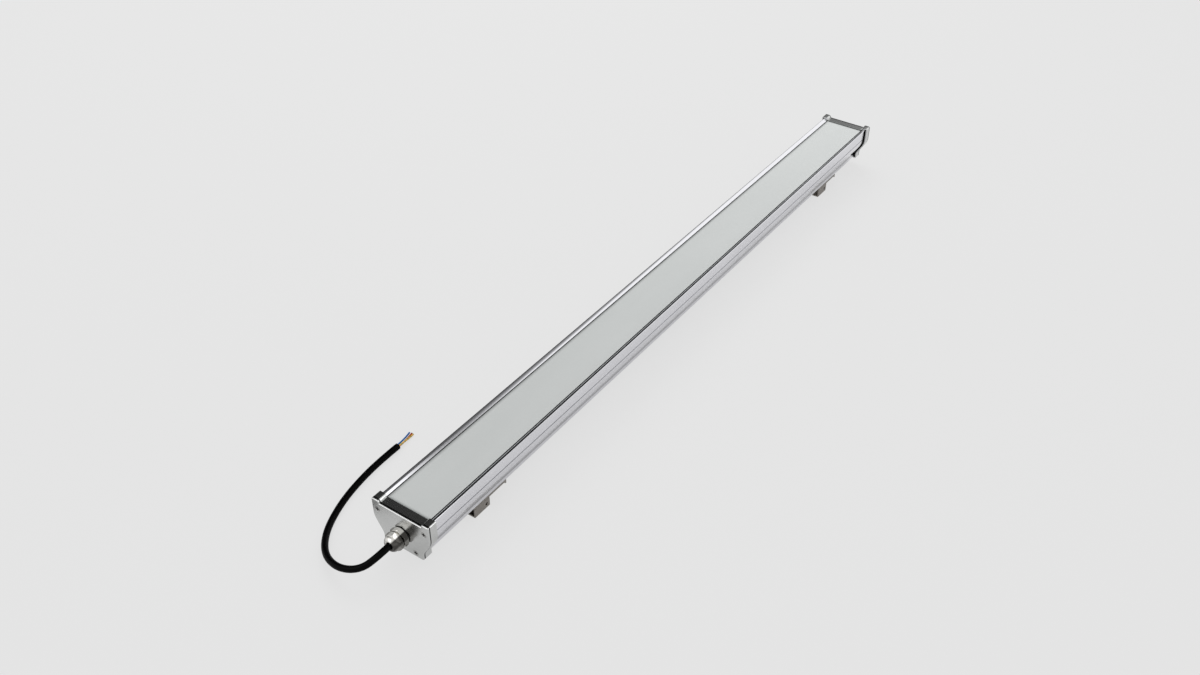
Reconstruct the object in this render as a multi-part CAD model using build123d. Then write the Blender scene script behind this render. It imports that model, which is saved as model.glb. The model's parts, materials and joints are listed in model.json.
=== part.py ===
"""Linear outdoor wall washer light, built as separate pieces.

Frame: +X runs along the lamp, away from the cable gland. +Y is across the
lamp, and +Z is up, out of the frosted cover. The origin lies under the middle
of the lamp, on the surface that its folded bracket legs stand on.
All sizes are in millimetres.
"""

from build123d import *
import math
import os

# ---------------------------------------------------------------- dimensions

# Overall body and its stack of heights, counted up from the standing surface
body_length = 1200.0
leg_height = 14.9
fold_gap = 0.3
base_thickness = 3.0
foot_underside = leg_height + fold_gap + base_thickness
profile_height = 57.1
cover_recess = 3.0
rim_top = foot_underside + profile_height
cover_top = rim_top - cover_recess
cap_rise = 1.2
cap_top = cover_top + cap_rise
ear_rise = 2.2
ear_top = rim_top + ear_rise

# Outline shared by the end caps and, set in by `wrap`, by the housing
cap_half_width = 44.3
wrap = 3.6
shoulder_radius = 0.455 * profile_height
shoulder_drop = 0.315 * profile_height
foot_half_width = 31.2
cove_radius = 0.245 * profile_height
cove_rise = 3.9
cap_foot_drop = 2.7
seam_gap = 0.15

# Housing extrusion
wall = 2.5
rim_edge_radius = 0.8
rim_flat = 0.2
rim_crown = 0.5
rim_inner_half = 34.4
gasket_bead = 1.4
cover_thickness = 4.0
bedding = 0.8
ledge_inner_half = 30.0
shelf_top_drop = 16.6
shelf_thickness = 3.0
flange_thickness = 2.4
flange_inner_half = 22.5
groove_drop = 16.9
groove_width = 1.2
groove_depth = 0.7
upper_port_half = 36.2
upper_port_drop = 12.4

# Foot rail under the housing
rail_floor = 2.5
rail_corner_radius = 1.0
slot_mouth_half = 4.2
slot_lip = 2.2
slot_inner_half = 7.0
slot_depth = 4.8
slot_roof = 2.0
slot_block_half = 9.5
lower_port_half = 19.5
lower_port_rise = 3.5
port_boss_radius = 3.8
tongue_inner_half = 19.8
tongue_thickness = 2.4
barb_reach = 2.2
barb_height = 1.6
barb_gap = 0.2

# End caps: plate, seal and collar, the same at both ends
plate_thickness = 2.5
plate_chamfer = 0.9
plate_seal_thickness = 0.8
plate_seal_inset = 0.7
collar_depth = 11.2
collar_flange = 3.7
collar_wall = 1.5
collar_seal_thickness = 1.5
cover_end_seal = 0.7
cover_end_seal_proud = 0.25
ear_inner_half = 32.8
ear_inner_radius = 3.4
ear_outer_radius = 2.2
cap_foot_radius = 1.5
rim_clear_inner = 0.8
rim_clear_side = 0.2
rim_clear_slope = 0.8
rim_clear_top = 1.1
window_top_half = 30.0
window_foot_half = 22.0
window_knee_rise = 21.8
window_foot_rise = 8.4
window_head_drop = 9.3
window_corner = 2.0

# Countersunk cross-recessed screws that hold the caps
cap_screw_shank = 4.0
cap_screw_length = 22.0
cap_screw_head = 7.8
cap_screw_sink = 0.1
cap_screw_clearance = 0.2
fit_clearance = 0.05
recess_arm = 5.2
recess_width = 1.5
recess_depth = 0.9

# Light engine on the shelf
board_count = 3
board_gap = 3.0
board_end_gap = 12.5
board_width = 50.0
board_thickness = 1.6
leds_per_board = 12
led_side = 3.5
led_height = 2.0
lens_strip_width = 20.0
lens_strip_rise = 4.2
lens_strip_skin = 1.5
lens_strip_end = 4.0
lens_radius = 7.5
lens_cap_height = 4.6
board_screw_shank = 3.0
board_screw_head = 5.6
board_screw_head_height = 1.8
board_screw_length = 4.6
board_screw_offset = 18.0
board_screw_end = 16.0
feed_hole_radius = 4.5
feed_hole_y = 20.0
feed_notch = 6.0
grommet_wall = 1.0
grommet_lip = 0.9
lead_radius = 0.9
lead_straight = 4.0
feed_lead_spacing = 3.2
feed_lead_rise = 5.0
link_reach = 6.0
link_height = 2.6
link_spacing = 7.0

# Driver under the shelf
driver_feed_gap = 42.5
driver_width = 36.0
driver_foot_gap = 4.1
driver_wall = 1.2
driver_cap_thickness = 3.0
driver_start = 96.0
driver_pad = 0.4
driver_ear = 11.0
driver_ear_hole = 7.0
driver_ear_thickness = 2.0
driver_screw_length = 4.6
driver_board_thickness = 1.6
driver_board_rise = 1.5
driver_board_margin = 2.0
driver_lead_spacing = 10.0

# Terminal block and earth screw
block_start = 36.0
block_length = 30.0
block_height = 16.0
block_pole_pitch = 10.0
block_side_margin = 5.0
block_entry_radius = 2.0
block_entry_depth = 9.0
block_screw_radius = 2.2
block_screw_depth = 5.0
block_screw_slot = 0.8
earth_screw_x = 86.0
earth_screw_y = 14.0
earth_head_radius = 3.6
earth_head_height = 2.6
earth_ring_radius = 4.6
earth_ring_thickness = 1.0
earth_barrel_radius = 1.6
earth_barrel_length = 5.0

# Cable gland in the near end plate
gland_rise = 22.8
gland_thread_radius = 10.0
gland_thread_length = 10.0
gland_hex = 24.0
gland_hex_length = 8.0
gland_hex_chamfer = 0.9
gland_neck_radius = 9.0
gland_neck_length = 7.2
gland_nut_hex = 22.6
gland_nut_gap = 0.9
gland_nut_hex_length = 7.4
gland_nut_length = 13.6
gland_nut_front_radius = 9.2
gland_nut_lip_radius = 7.4
gland_seal_radius = 7.0
gland_seal_length = 11.0
gland_seal_recess = 1.8
gland_ring_radius = 11.6
gland_ring_section = 1.2
lock_nut_thickness = 4.0

# Supply cable and its three cores
cable_diameter = 8.8
core_diameter = 2.3
core_ring = 1.75
jacket_inside = 14.0

# Tilting brackets
near_bracket_start = 98.5
far_bracket_setback = 155.5
leg_length = 28.3
base_half_width = 27.5
leg_sheet = 2.0
leg_lug_start = -4.0
leg_lug_corner = 4.0
leg_floor_setback = 6.0
lug_sheet = 2.0
lug_gap = 0.3
pivot_offset = 20.0
pivot_radius = 3.0
pivot_clearance = 0.05
lug_floor_gap = 0.25
web_hole_radius = 2.25
web_hole_inset = 5.2
bend_radius = 1.8
end_lip = 2.6
end_lip_thickness = 2.0
pivot_head_radius = 5.0
pivot_head_height = 3.0
pivot_nut_hex = 8.0
pivot_nut_height = 4.0
pivot_washer_radius = 6.0
pivot_washer_thickness = 1.0
pivot_hex_socket = 3.0
clamp_screw_radius = 2.5
clamp_screw_head = 4.4
clamp_screw_head_height = 2.8
clamp_screw_inset = 9.0
clamp_screw_pitch = 17.0
clamp_leg_gap = 3.3
clamp_hex_socket = 3.0
slide_nut_length = 15.0
slide_nut_gap = 0.15
slide_nut_thickness = 4.0
slide_neck_half = 3.9

# ------------------------------------------------------------ derived places

near_face = -body_length / 2
collar_start = plate_thickness + plate_seal_thickness
collar_end = collar_start + collar_depth
profile_start = collar_start + collar_flange + collar_seal_thickness
profile_length = body_length - 2 * profile_start
cover_length = body_length - 2 * (collar_end + cover_end_seal)
ledge_z = cover_top - cover_thickness - bedding
shelf_top = cover_top - shelf_top_drop
shelf_underside = shelf_top - shelf_thickness
cap_foot = foot_underside - cap_foot_drop
upper_port_z = rim_top - upper_port_drop
lower_port_z = foot_underside + lower_port_rise
housing_half = cap_half_width - wrap
shoulder_y = cap_half_width - shoulder_radius
shoulder_z = cap_top - shoulder_drop
cove_y = foot_half_width + cove_radius
cove_z = foot_underside + cove_rise
gland_axis_z = foot_underside + gland_rise
rail_roof = foot_underside + slot_lip + slot_depth + slot_roof
driver_height = shelf_underside - driver_pad - rail_roof - driver_foot_gap
pivot_z = leg_height / 2
base_underside = foot_underside - base_thickness
first_clamp = leg_length + clamp_leg_gap + clamp_screw_head
base_length = first_clamp + clamp_screw_pitch + clamp_screw_inset
bracket_starts = (near_bracket_start, body_length - far_bracket_setback)


# ------------------------------------------------------------------- helpers

def across(face, x_from, thickness):
    """Extrude a face drawn in the Y-Z plane along +X from x_from."""
    return extrude(Plane.YZ.offset(x_from) * face, thickness)


def box(x_from, x_to, y_from, y_to, z_from, z_to):
    """Block between two corners."""
    size = (x_to - x_from, y_to - y_from, z_to - z_from)
    middle = ((x_from + x_to) / 2, (y_from + y_to) / 2, (z_from + z_to) / 2)
    return Pos(*middle) * Box(*size)


def rod(radius, start, direction, length):
    """Cylinder from a start point along a direction."""
    plane = Plane(origin=start, z_dir=direction)
    return extrude(plane * Circle(radius), length)


def polygon(points):
    """Closed flat face through the points, in order."""
    return make_face(Polyline(*points, close=True))


def mirrored(points):
    """A right-hand chain of points followed by its mirror image."""
    left = [(-y, z) for y, z in reversed(points)]
    return points + left


def hexagon(across_flats):
    """Hexagon by its width across flats, with a corner up."""
    return Rot(0, 0, 90) * RegularPolygon(across_flats / math.sqrt(3), 6)


def group(solids):
    """Several separate solids kept together in one node."""
    return Compound(children=list(solids))


def at_far_end(shape):
    """The same piece turned end for end at the other end of the lamp."""
    return mirror(shape, about=Plane.YZ)


def slope_lean():
    """Lean of the slope that touches both the shoulder's and the cove's arc."""
    sideways = cove_y - shoulder_y
    fall = shoulder_z - cove_z
    share = (shoulder_radius + cove_radius) / math.hypot(sideways, fall)
    return math.atan2(fall, sideways) - math.acos(share)


def body_outline(inset, top, bottom):
    """Tulip outline: straight sides, round shoulder, slope, cove and foot."""
    lean = slope_lean()
    lean_sin = math.sin(lean)
    lean_cos = math.cos(lean)
    half_lean_sin = math.sin(lean / 2)
    half_lean_cos = math.cos(lean / 2)
    outer = shoulder_radius - inset
    inner = cove_radius + inset
    side_y = cap_half_width - inset
    slope_start = (shoulder_y + outer * lean_cos, shoulder_z - outer * lean_sin)
    cove_start = (cove_y - inner * lean_cos, cove_z + inner * lean_sin)
    shoulder_mid = (shoulder_y + outer * half_lean_cos, shoulder_z - outer * half_lean_sin)
    cove_mid = (cove_y - inner * half_lean_cos, cove_z + inner * half_lean_sin)
    foot_y = foot_half_width - inset
    right = Curve() + [
        Line((0, top), (side_y, top)),
        Line((side_y, top), (side_y, shoulder_z)),
        ThreePointArc((side_y, shoulder_z), shoulder_mid, slope_start),
        Line(slope_start, cove_start),
        ThreePointArc(cove_start, cove_mid, (foot_y, cove_z)),
        Line((foot_y, cove_z), (foot_y, bottom)),
        Line((foot_y, bottom), (0, bottom)),
    ]
    left = mirror(right, about=Plane.YZ)
    return make_face(right + left)


def rounded(face, radius, chosen):
    """Round the corners of a flat face that `chosen` picks by position."""
    corners = [v for v in face.vertices() if chosen(v.X, v.Y)]
    return fillet(corners, radius)


def seam_height():
    """Height where the housing's slope ends and the foot rail begins."""
    return cove_z + (cove_radius + wrap) * math.sin(slope_lean())


def tube_along(points, radius, factor=0.45):
    """Round tube on straight runs joined by tangent arcs, with its radii."""
    corners = [Vector(*p) for p in points]
    radii = []
    for before, here, after in zip(corners, corners[1:], corners[2:]):
        run_in = here - before
        run_out = after - here
        turn = math.radians(run_in.get_angle(run_out))
        shorter = min(run_in.length, run_out.length)
        radii.append(factor * shorter / math.tan(turn / 2))
    path = FilletPolyline(*points, radius=radii)
    start = Plane(origin=points[0], z_dir=corners[1] - corners[0])
    return sweep(start * Circle(radius), path=path), path, radii


# --------------------------------------------------------- housing and cover

def ports(half, height, radius):
    """Pair of round holes at the cap screws' places, as a flat face."""
    return Pos(half, height) * Circle(radius) + Pos(-half, height) * Circle(radius)


def rim_recess():
    """Room between the rims, whose inner slopes are gently crowned."""
    crest_y = housing_half - rim_edge_radius - rim_flat
    run = crest_y - rim_inner_half
    rise = rim_top - cover_top
    slope = math.hypot(run, rise)
    crown = ((crest_y + rim_inner_half) / 2 - rim_crown * rise / slope,
             (rim_top + cover_top) / 2 + rim_crown * run / slope)
    right = Curve() + [
        Line((0, rim_top + 1), (crest_y, rim_top + 1)),
        Line((crest_y, rim_top + 1), (crest_y, rim_top)),
        ThreePointArc((crest_y, rim_top), crown, (rim_inner_half, cover_top)),
        Line((rim_inner_half, cover_top), (rim_inner_half, ledge_z)),
        Line((rim_inner_half, ledge_z), (0, ledge_z)),
    ]
    return make_face(right + mirror(right, about=Plane.YZ))


def profile_envelope():
    """Outer shape of housing and rail together, with the cover's recess."""
    outline = body_outline(wrap, rim_top, foot_underside)
    outline = rounded(outline, rim_edge_radius, lambda y, z: z > rim_top - 1)
    outline = rounded(outline, rail_corner_radius, lambda y, z: z < foot_underside + 1)
    return outline - rim_recess()


def housing_section():
    """Cross-section of the extruded housing, open at the foot."""
    seam = seam_height() + seam_gap
    outline = profile_envelope() - Rectangle(4 * cap_half_width, 2 * seam)
    boss_side = housing_half - wall
    light_room = polygon(mirrored([
        (ledge_inner_half, ledge_z + 1),
        (ledge_inner_half, ledge_z - wall),
        (ledge_inner_half + 1.2, upper_port_z - 0.7),
        (boss_side, shelf_top + 1.6),
        (boss_side, shelf_top),
    ]))
    flange_top = seam + flange_thickness
    band = Rectangle(4 * cap_half_width, shelf_underside - flange_top)
    band_middle = (flange_top + shelf_underside) / 2
    gear_room = body_outline(wrap + wall, rim_top, foot_underside) & Pos(0, band_middle) * band
    mouth = Pos(0, flange_top) * Rectangle(2 * flange_inner_half, 4 * flange_thickness)
    section = outline - light_room - gear_room - mouth
    section -= ports(upper_port_half, upper_port_z, cap_screw_shank / 2 + fit_clearance)
    groove_z = rim_top - groove_drop
    for side in (-1, 1):
        mark = Pos(side * housing_half, groove_z) * Rectangle(2 * groove_depth, groove_width)
        section -= mark
    return section


def housing_extrusion():
    """Extruded housing with the board screws' and leads' holes in its shelf."""
    body = across(housing_section(), near_face + profile_start, profile_length)
    for x, y in board_screw_places():
        body -= rod(board_screw_shank / 2 + fit_clearance, (x, y, shelf_top + 1), (0, 0, -1),
                    shelf_thickness + 2)
    feed = (feed_x(), feed_hole_y, shelf_top + 1)
    body -= rod(feed_hole_radius, feed, (0, 0, -1), shelf_thickness + 2)
    for x in driver_screw_places():
        body -= rod(board_screw_shank / 2 + fit_clearance, (x, 0, shelf_underside - 1), (0, 0, 1),
                    driver_screw_length)
    earth = (near_face + earth_screw_x, -earth_screw_y, shelf_underside - 1)
    body -= rod(board_screw_shank / 2 + fit_clearance, earth, (0, 0, 1), driver_screw_length)
    return body


def rail_section():
    """Cross-section of the foot rail: cove, foot, T-slot and gripping tongues."""
    seam = seam_height() - seam_gap
    section = profile_envelope() - body_outline(wrap + wall, rim_top + 1, foot_underside + rail_floor)
    section -= Pos(0, seam + cap_half_width) * Rectangle(4 * cap_half_width, 2 * cap_half_width)
    block = Rectangle(2 * slot_block_half, rail_roof - foot_underside)
    flange_top = seam_height() + seam_gap + flange_thickness
    barb_foot = flange_top + barb_gap
    barb_top = barb_foot + barb_height
    tongue_outer = tongue_inner_half + tongue_thickness
    tongue = [
        (tongue_inner_half, foot_underside + 1),
        (tongue_inner_half, barb_top),
        (tongue_outer, barb_top),
        (tongue_outer + barb_reach, barb_foot + barb_height / 3),
        (tongue_outer + barb_reach, barb_foot),
        (tongue_outer, barb_foot),
        (tongue_outer, foot_underside + 1),
    ]
    section += Pos(0, (foot_underside + rail_roof) / 2) * block
    section += polygon(tongue)
    section += polygon([(-y, z) for y, z in tongue])
    bosses = ports(lower_port_half, lower_port_z, port_boss_radius)
    floor_cut = Pos(0, foot_underside - cap_half_width) * Rectangle(4 * cap_half_width, 2 * cap_half_width)
    section += bosses - floor_cut
    section -= Pos(0, foot_underside) * Rectangle(2 * slot_mouth_half, 3 * slot_lip)
    slot_middle = foot_underside + slot_lip + slot_depth / 2
    section -= Pos(0, slot_middle) * Rectangle(2 * slot_inner_half, slot_depth)
    section -= ports(lower_port_half, lower_port_z, cap_screw_shank / 2 + fit_clearance)
    return section


def foot_rail():
    """Extruded rail that closes the foot and carries the brackets."""
    return across(rail_section(), near_face + profile_start, profile_length)


def frosted_cover():
    """Frosted glass cover between the two end caps."""
    half = rim_inner_half - gasket_bead
    bottom = cover_top - cover_thickness
    return box(-cover_length / 2, cover_length / 2, -half, half, bottom, cover_top)


def cover_gasket(side):
    """L-shaped black seal along one long edge of the cover."""
    half = rim_inner_half - gasket_bead
    upright = [(half, ledge_z), (rim_inner_half, ledge_z),
               (rim_inner_half, cover_top - 0.3), (half, cover_top - 0.3)]
    foot = [(ledge_inner_half, ledge_z), (half, ledge_z),
            (half, ledge_z + bedding), (ledge_inner_half, ledge_z + bedding)]
    face = polygon(upright) + polygon(foot)
    if side < 0:
        face = mirror(face, about=Plane.YZ)
    return across(face, -cover_length / 2, cover_length)


# ------------------------------------------------------------------ end caps

def cap_outline(inset=0.0):
    """Outline of the end cap with a raised ear over each rim."""
    face = body_outline(inset, ear_top - inset, cap_foot + inset)
    middle_height = 2 * (ear_top - cap_top)
    face -= Pos(0, ear_top - inset) * Rectangle(2 * (ear_inner_half + inset), middle_height)
    high = ear_top - inset - 0.5
    side = cap_half_width - inset - 1
    face = rounded(face, ear_inner_radius, lambda y, z: z > high and abs(y) < side)
    face = rounded(face, ear_outer_radius, lambda y, z: z > high and abs(y) > side)
    return rounded(face, cap_foot_radius, lambda y, z: z < cap_foot + inset + 0.5)


def window():
    """Opening through the collar and the seals, between the screws."""
    face = polygon(mirrored([
        (window_top_half, cover_top - window_head_drop),
        (window_top_half, cap_foot + window_knee_rise),
        (window_foot_half, foot_underside + window_foot_rise),
    ]))
    return fillet(face.vertices(), window_corner)


def cap_screw_places():
    """Places of one cap's four screws across the lamp."""
    places = []
    for side in (-1, 1):
        places.append((side * upper_port_half, upper_port_z))
        places.append((side * lower_port_half, lower_port_z))
    return places


def screw_holes(extra):
    """The four screws' holes as a flat face."""
    radius = cap_screw_shank / 2 + extra
    return ports(upper_port_half, upper_port_z, radius) + ports(lower_port_half, lower_port_z, radius)


def pocket():
    """Room inside the collar for the profiles and their seal."""
    low = ledge_z + collar_seal_thickness
    face = body_outline(collar_wall, low, cap_foot + collar_wall)
    rim = [
        (rim_inner_half - rim_clear_inner, low - 1),
        (rim_inner_half - rim_clear_inner, cover_top + rim_clear_slope),
        (housing_half + rim_clear_side, rim_top + rim_clear_top),
        (cap_half_width - collar_wall, rim_top + rim_clear_top),
        (cap_half_width - collar_wall, low - 1),
    ]
    face += polygon(rim)
    face += polygon([(-y, z) for y, z in rim])
    return face


def sunk_cone(y, z, x, face_radius):
    """Cone of a countersunk head or of its seat, from x down to the shank's size."""
    shank_radius = cap_screw_shank / 2
    height = face_radius - shank_radius
    return Pos(x + height / 2, y, z) * Rot(0, 90, 0) * Cone(face_radius, shank_radius, height)


def end_plate():
    """Satin plate with a chamfered front edge, without the gland's hole."""
    face = cap_outline() - screw_holes(cap_screw_clearance)
    plate = across(face, near_face, plate_thickness)
    front = plate.faces().sort_by(Axis.X)[0]
    plate = chamfer(front.outer_wire().edges(), plate_chamfer)
    seat_radius = cap_screw_head / 2 + 2 * cap_screw_sink
    for y, z in cap_screw_places():
        plate -= sunk_cone(y, z, near_face, seat_radius)
    return plate


def plate_seal():
    """Thin flat seal between plate and collar."""
    face = cap_outline(plate_seal_inset) - window() - screw_holes(cap_screw_clearance)
    return across(face, near_face + plate_thickness, plate_seal_thickness)


def end_collar():
    """Cast collar round the ends of the profiles, with its inner flange."""
    ring = across(cap_outline() - pocket(), near_face + collar_start, collar_depth)
    flange = cap_outline() - window() - screw_holes(cap_screw_clearance)
    return ring + across(flange, near_face + collar_start, collar_flange)


def collar_seal():
    """Black seal that fills the collar round the profiles, with a flat end."""
    seat = near_face + collar_start + collar_flange
    flat = across(pocket() - window() - screw_holes(cap_screw_clearance), seat, collar_seal_thickness)
    sleeve_length = collar_depth - collar_flange - collar_seal_thickness
    sleeve = across(pocket() - profile_envelope(), near_face + profile_start, sleeve_length)
    half = rim_inner_half - gasket_bead
    bead = box(near_face + collar_end, near_face + collar_end + cover_end_seal, -half, half,
               ledge_z, cap_top - cap_rise + cover_end_seal_proud)
    return flat + sleeve + bead


def sunk_screw(x, y, z):
    """Countersunk cross-recessed screw seen from the lamp's near end."""
    shank = rod(cap_screw_shank / 2, (x + recess_depth, y, z), (1, 0, 0), cap_screw_length - recess_depth)
    head = sunk_cone(y, z, x, cap_screw_head / 2)
    arm = box(x, x + recess_depth, y - recess_arm / 2, y + recess_arm / 2,
              z - recess_width / 2, z + recess_width / 2)
    cross = box(x, x + recess_depth, y - recess_width / 2, y + recess_width / 2,
                z - recess_arm / 2, z + recess_arm / 2)
    return shank + head - arm - cross


def end_screws():
    """The four screws of the near cap."""
    face = near_face + cap_screw_sink
    return group(sunk_screw(face, y, z) for y, z in cap_screw_places())


# --------------------------------------------------------------- light engine

def board_length():
    """Length of one LED board."""
    room = body_length - 2 * (collar_end + board_end_gap) - (board_count - 1) * board_gap
    return room / board_count


def board_start(index):
    """Near end of a board."""
    return near_face + collar_end + board_end_gap + index * (board_length() + board_gap)


def feed_x():
    """Place of the feed hole, at the joint of the first two boards."""
    return board_start(1) - board_gap / 2


def board_screw_places():
    """Screws of all boards: two at each end and two in the middle."""
    places = []
    for index in range(board_count):
        start = board_start(index)
        stop = start + board_length()
        spots = (start + board_screw_end, (start + stop) / 2, stop - board_screw_end)
        for x in spots:
            for side in (-1, 1):
                places.append((x, side * board_screw_offset))
    return places


def led_places(index):
    """Places of one board's LEDs along the lamp."""
    pitch = board_length() / leds_per_board
    return [board_start(index) + pitch * (count + 0.5) for count in range(leds_per_board)]


def led_board(index):
    """One LED board with its screw holes and the notch for the feed leads."""
    start = board_start(index)
    half = board_width / 2
    board = box(start, start + board_length(), -half, half, shelf_top, shelf_top + board_thickness)
    for x, y in board_screw_places():
        if start < x < start + board_length():
            board -= rod(board_screw_shank / 2 + cap_screw_clearance, (x, y, shelf_top - 1), (0, 0, 1),
                         board_thickness + 2)
    notch = box(feed_x() - feed_notch, feed_x() + feed_notch, feed_hole_y - feed_notch,
                feed_hole_y + feed_notch, shelf_top - 1, shelf_top + board_thickness + 1)
    return board - notch


def led_chips():
    """All LED chips, as a group of blocks with a domed window each."""
    chips = []
    base = shelf_top + board_thickness
    half = led_side / 2
    for index in range(board_count):
        for x in led_places(index):
            chips.append(box(x - half, x + half, -half, half, base, base + led_height))
    return group(chips)


def lens_strip(index):
    """Moulded strip over one board with a domed lens above each LED."""
    start = board_start(index) + lens_strip_end
    stop = board_start(index) + board_length() - lens_strip_end
    half = lens_strip_width / 2
    base = shelf_top + board_thickness
    top = base + lens_strip_rise
    strip = box(start, stop, -half, half, base, top)
    strip -= box(start - 1, stop + 1, -half + lens_strip_skin, half - lens_strip_skin, base - 1,
                 top - lens_strip_skin)
    ball_radius = (lens_radius ** 2 + lens_cap_height ** 2) / (2 * lens_cap_height)
    centre_z = top + lens_cap_height - ball_radius
    above = Pos(0, 0, top + ball_radius) * Box(4 * body_length, 4 * half, 2 * ball_radius)
    for x in led_places(index):
        dome = Pos(x, 0, centre_z) * Sphere(ball_radius)
        strip += dome & above
    return strip


def small_screw(x, y, z, up, length):
    """Small round-headed screw: its head lies on the `up` side of z."""
    shank = rod(board_screw_shank / 2, (x, y, z), (0, 0, -up), length)
    head = rod(board_screw_head / 2, (x, y, z), (0, 0, up), board_screw_head_height)
    return shank + head


def board_screws():
    """Screws that hold the boards down on the shelf."""
    top = shelf_top + board_thickness
    return group(small_screw(x, y, top, 1, board_screw_length) for x, y in board_screw_places())


def board_link_leads():
    """Short bridges that carry the current from board to board."""
    bridges = []
    base = shelf_top + board_thickness + lead_radius
    for index in range(1, board_count):
        middle = board_start(index) - board_gap / 2
        for side in (-1, 1):
            y = -feed_hole_y + side * link_spacing / 2
            route = [
                (middle - link_reach - 2, y, base),
                (middle - link_reach + 1, y, base),
                (middle - link_reach / 3, y, base + link_height),
                (middle + link_reach / 3, y, base + link_height),
                (middle + link_reach - 1, y, base),
                (middle + link_reach + 2, y, base),
            ]
            bridges.append(tube_along(route, lead_radius)[0])
    return group(bridges)


# --------------------------------------------------------------------- driver

def driver_x():
    """Near and far ends of the driver's case."""
    return near_face + driver_start, feed_x() - driver_feed_gap


def driver_z():
    """Underside and top of the driver's case."""
    top = shelf_underside - driver_pad
    return top - driver_height, top


def driver_screw_places():
    """The driver's two fixing screws along the lamp."""
    start, stop = driver_x()
    return (start - driver_ear_hole, stop + driver_ear_hole)


def driver_case():
    """Slim metal case, open at both ends."""
    start, stop = driver_x()
    low, high = driver_z()
    half = driver_width / 2
    shell = box(start, stop, -half, half, low, high)
    room = box(start - 1, stop + 1, -half + driver_wall, half - driver_wall, low + driver_wall,
               high - driver_wall)
    return shell - room


def driver_end_caps():
    """The case's two end caps, each with a fixing ear."""
    start, stop = driver_x()
    low, high = driver_z()
    half = driver_width / 2
    caps = []
    for face_x, outward in ((start, -1), (stop, 1)):
        outer = face_x + outward * driver_cap_thickness
        tip = face_x + outward * driver_ear
        cap = box(min(face_x, outer), max(face_x, outer), -half, half, low, high)
        ear = box(min(face_x, tip), max(face_x, tip), -half / 2, half / 2, high - driver_ear_thickness,
                  high)
        screw_x = face_x + outward * driver_ear_hole
        hole = rod(board_screw_shank / 2 + cap_screw_clearance, (screw_x, 0, high + 1), (0, 0, -1),
                   driver_ear_thickness + 2)
        caps.append(cap + ear - hole)
    return group(caps)


def driver_circuit_board():
    """Circuit board inside the case, held in its middle height."""
    start, stop = driver_x()
    low = driver_z()[0]
    half = driver_width / 2 - driver_wall
    base = low + driver_board_rise
    return box(start + driver_board_margin, stop - driver_board_margin, -half, half, base,
               base + driver_board_thickness)


def driver_components():
    """The tall parts on the circuit board: transformer, cores and capacitors."""
    start, stop = driver_x()
    base = driver_z()[0] + driver_board_rise + driver_board_thickness
    roof = driver_z()[1] - driver_wall
    tall = 0.9 * (roof - base)
    span = stop - start
    half = driver_width / 4
    parts = [
        box(start + 0.42 * span, start + 0.53 * span, -half, half, base, base + tall),
        box(start + 0.12 * span, start + 0.17 * span, -half, half, base, base + 0.7 * tall),
        box(start + 0.30 * span, start + 0.33 * span, -half, half, base, base + 0.8 * tall),
    ]
    for share, radius_share in ((0.22, 0.42), (0.62, 0.36), (0.72, 0.36), (0.84, 0.30)):
        centre = (start + share * span, 0, base)
        parts.append(rod(radius_share * tall, centre, (0, 0, 1), tall))
    return group(parts)


def driver_screws():
    """Screws through the driver's ears into the shelf."""
    low = driver_z()[1] - driver_ear_thickness
    return group(small_screw(x, 0, low, -1, driver_screw_length) for x in driver_screw_places())


# --------------------------------------------------- terminals, earth, leads

def block_poles():
    """Places of the terminal block's poles across the lamp."""
    return (block_pole_pitch, 0.0, -block_pole_pitch)


def block_x():
    """Near and far faces of the terminal block."""
    start = near_face + block_start
    return start, start + block_length


def block_entry_z():
    """Height of the wire entries."""
    return shelf_underside - block_height / 2


def terminal_block():
    """Three-pole terminal block under the shelf, with its entries."""
    start, stop = block_x()
    half = block_pole_pitch + block_side_margin
    low = shelf_underside - block_height
    body = box(start, stop, -half, half, low, shelf_underside)
    for y in block_poles():
        for face_x, inward in ((start, 1), (stop, -1)):
            body -= rod(block_entry_radius, (face_x, y, block_entry_z()), (inward, 0, 0), block_entry_depth)
            screw_x = face_x + inward * block_entry_depth / 2
            body -= rod(block_screw_radius + fit_clearance, (screw_x, y, low), (0, 0, 1), block_screw_depth)
    return body


def terminal_screws():
    """Slotted clamp screws of the terminal block."""
    screws = []
    start, stop = block_x()
    low = shelf_underside - block_height
    length = block_screw_depth - 1
    for y in block_poles():
        for face_x, inward in ((start, 1), (stop, -1)):
            x = face_x + inward * block_entry_depth / 2
            screw = rod(block_screw_radius, (x, y, low + 1), (0, 0, 1), length)
            slot = box(x - block_screw_radius, x + block_screw_radius, y - block_screw_slot / 2,
                       y + block_screw_slot / 2, low, low + 2)
            screws.append(screw - slot)
    return group(screws)


def earth_barrel_x():
    """Where the ring tag's crimped barrel starts."""
    return near_face + earth_screw_x - earth_ring_radius + 0.5


def earth_barrel_z():
    """Height of the ring tag's crimped barrel."""
    return shelf_underside - earth_barrel_radius


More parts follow.
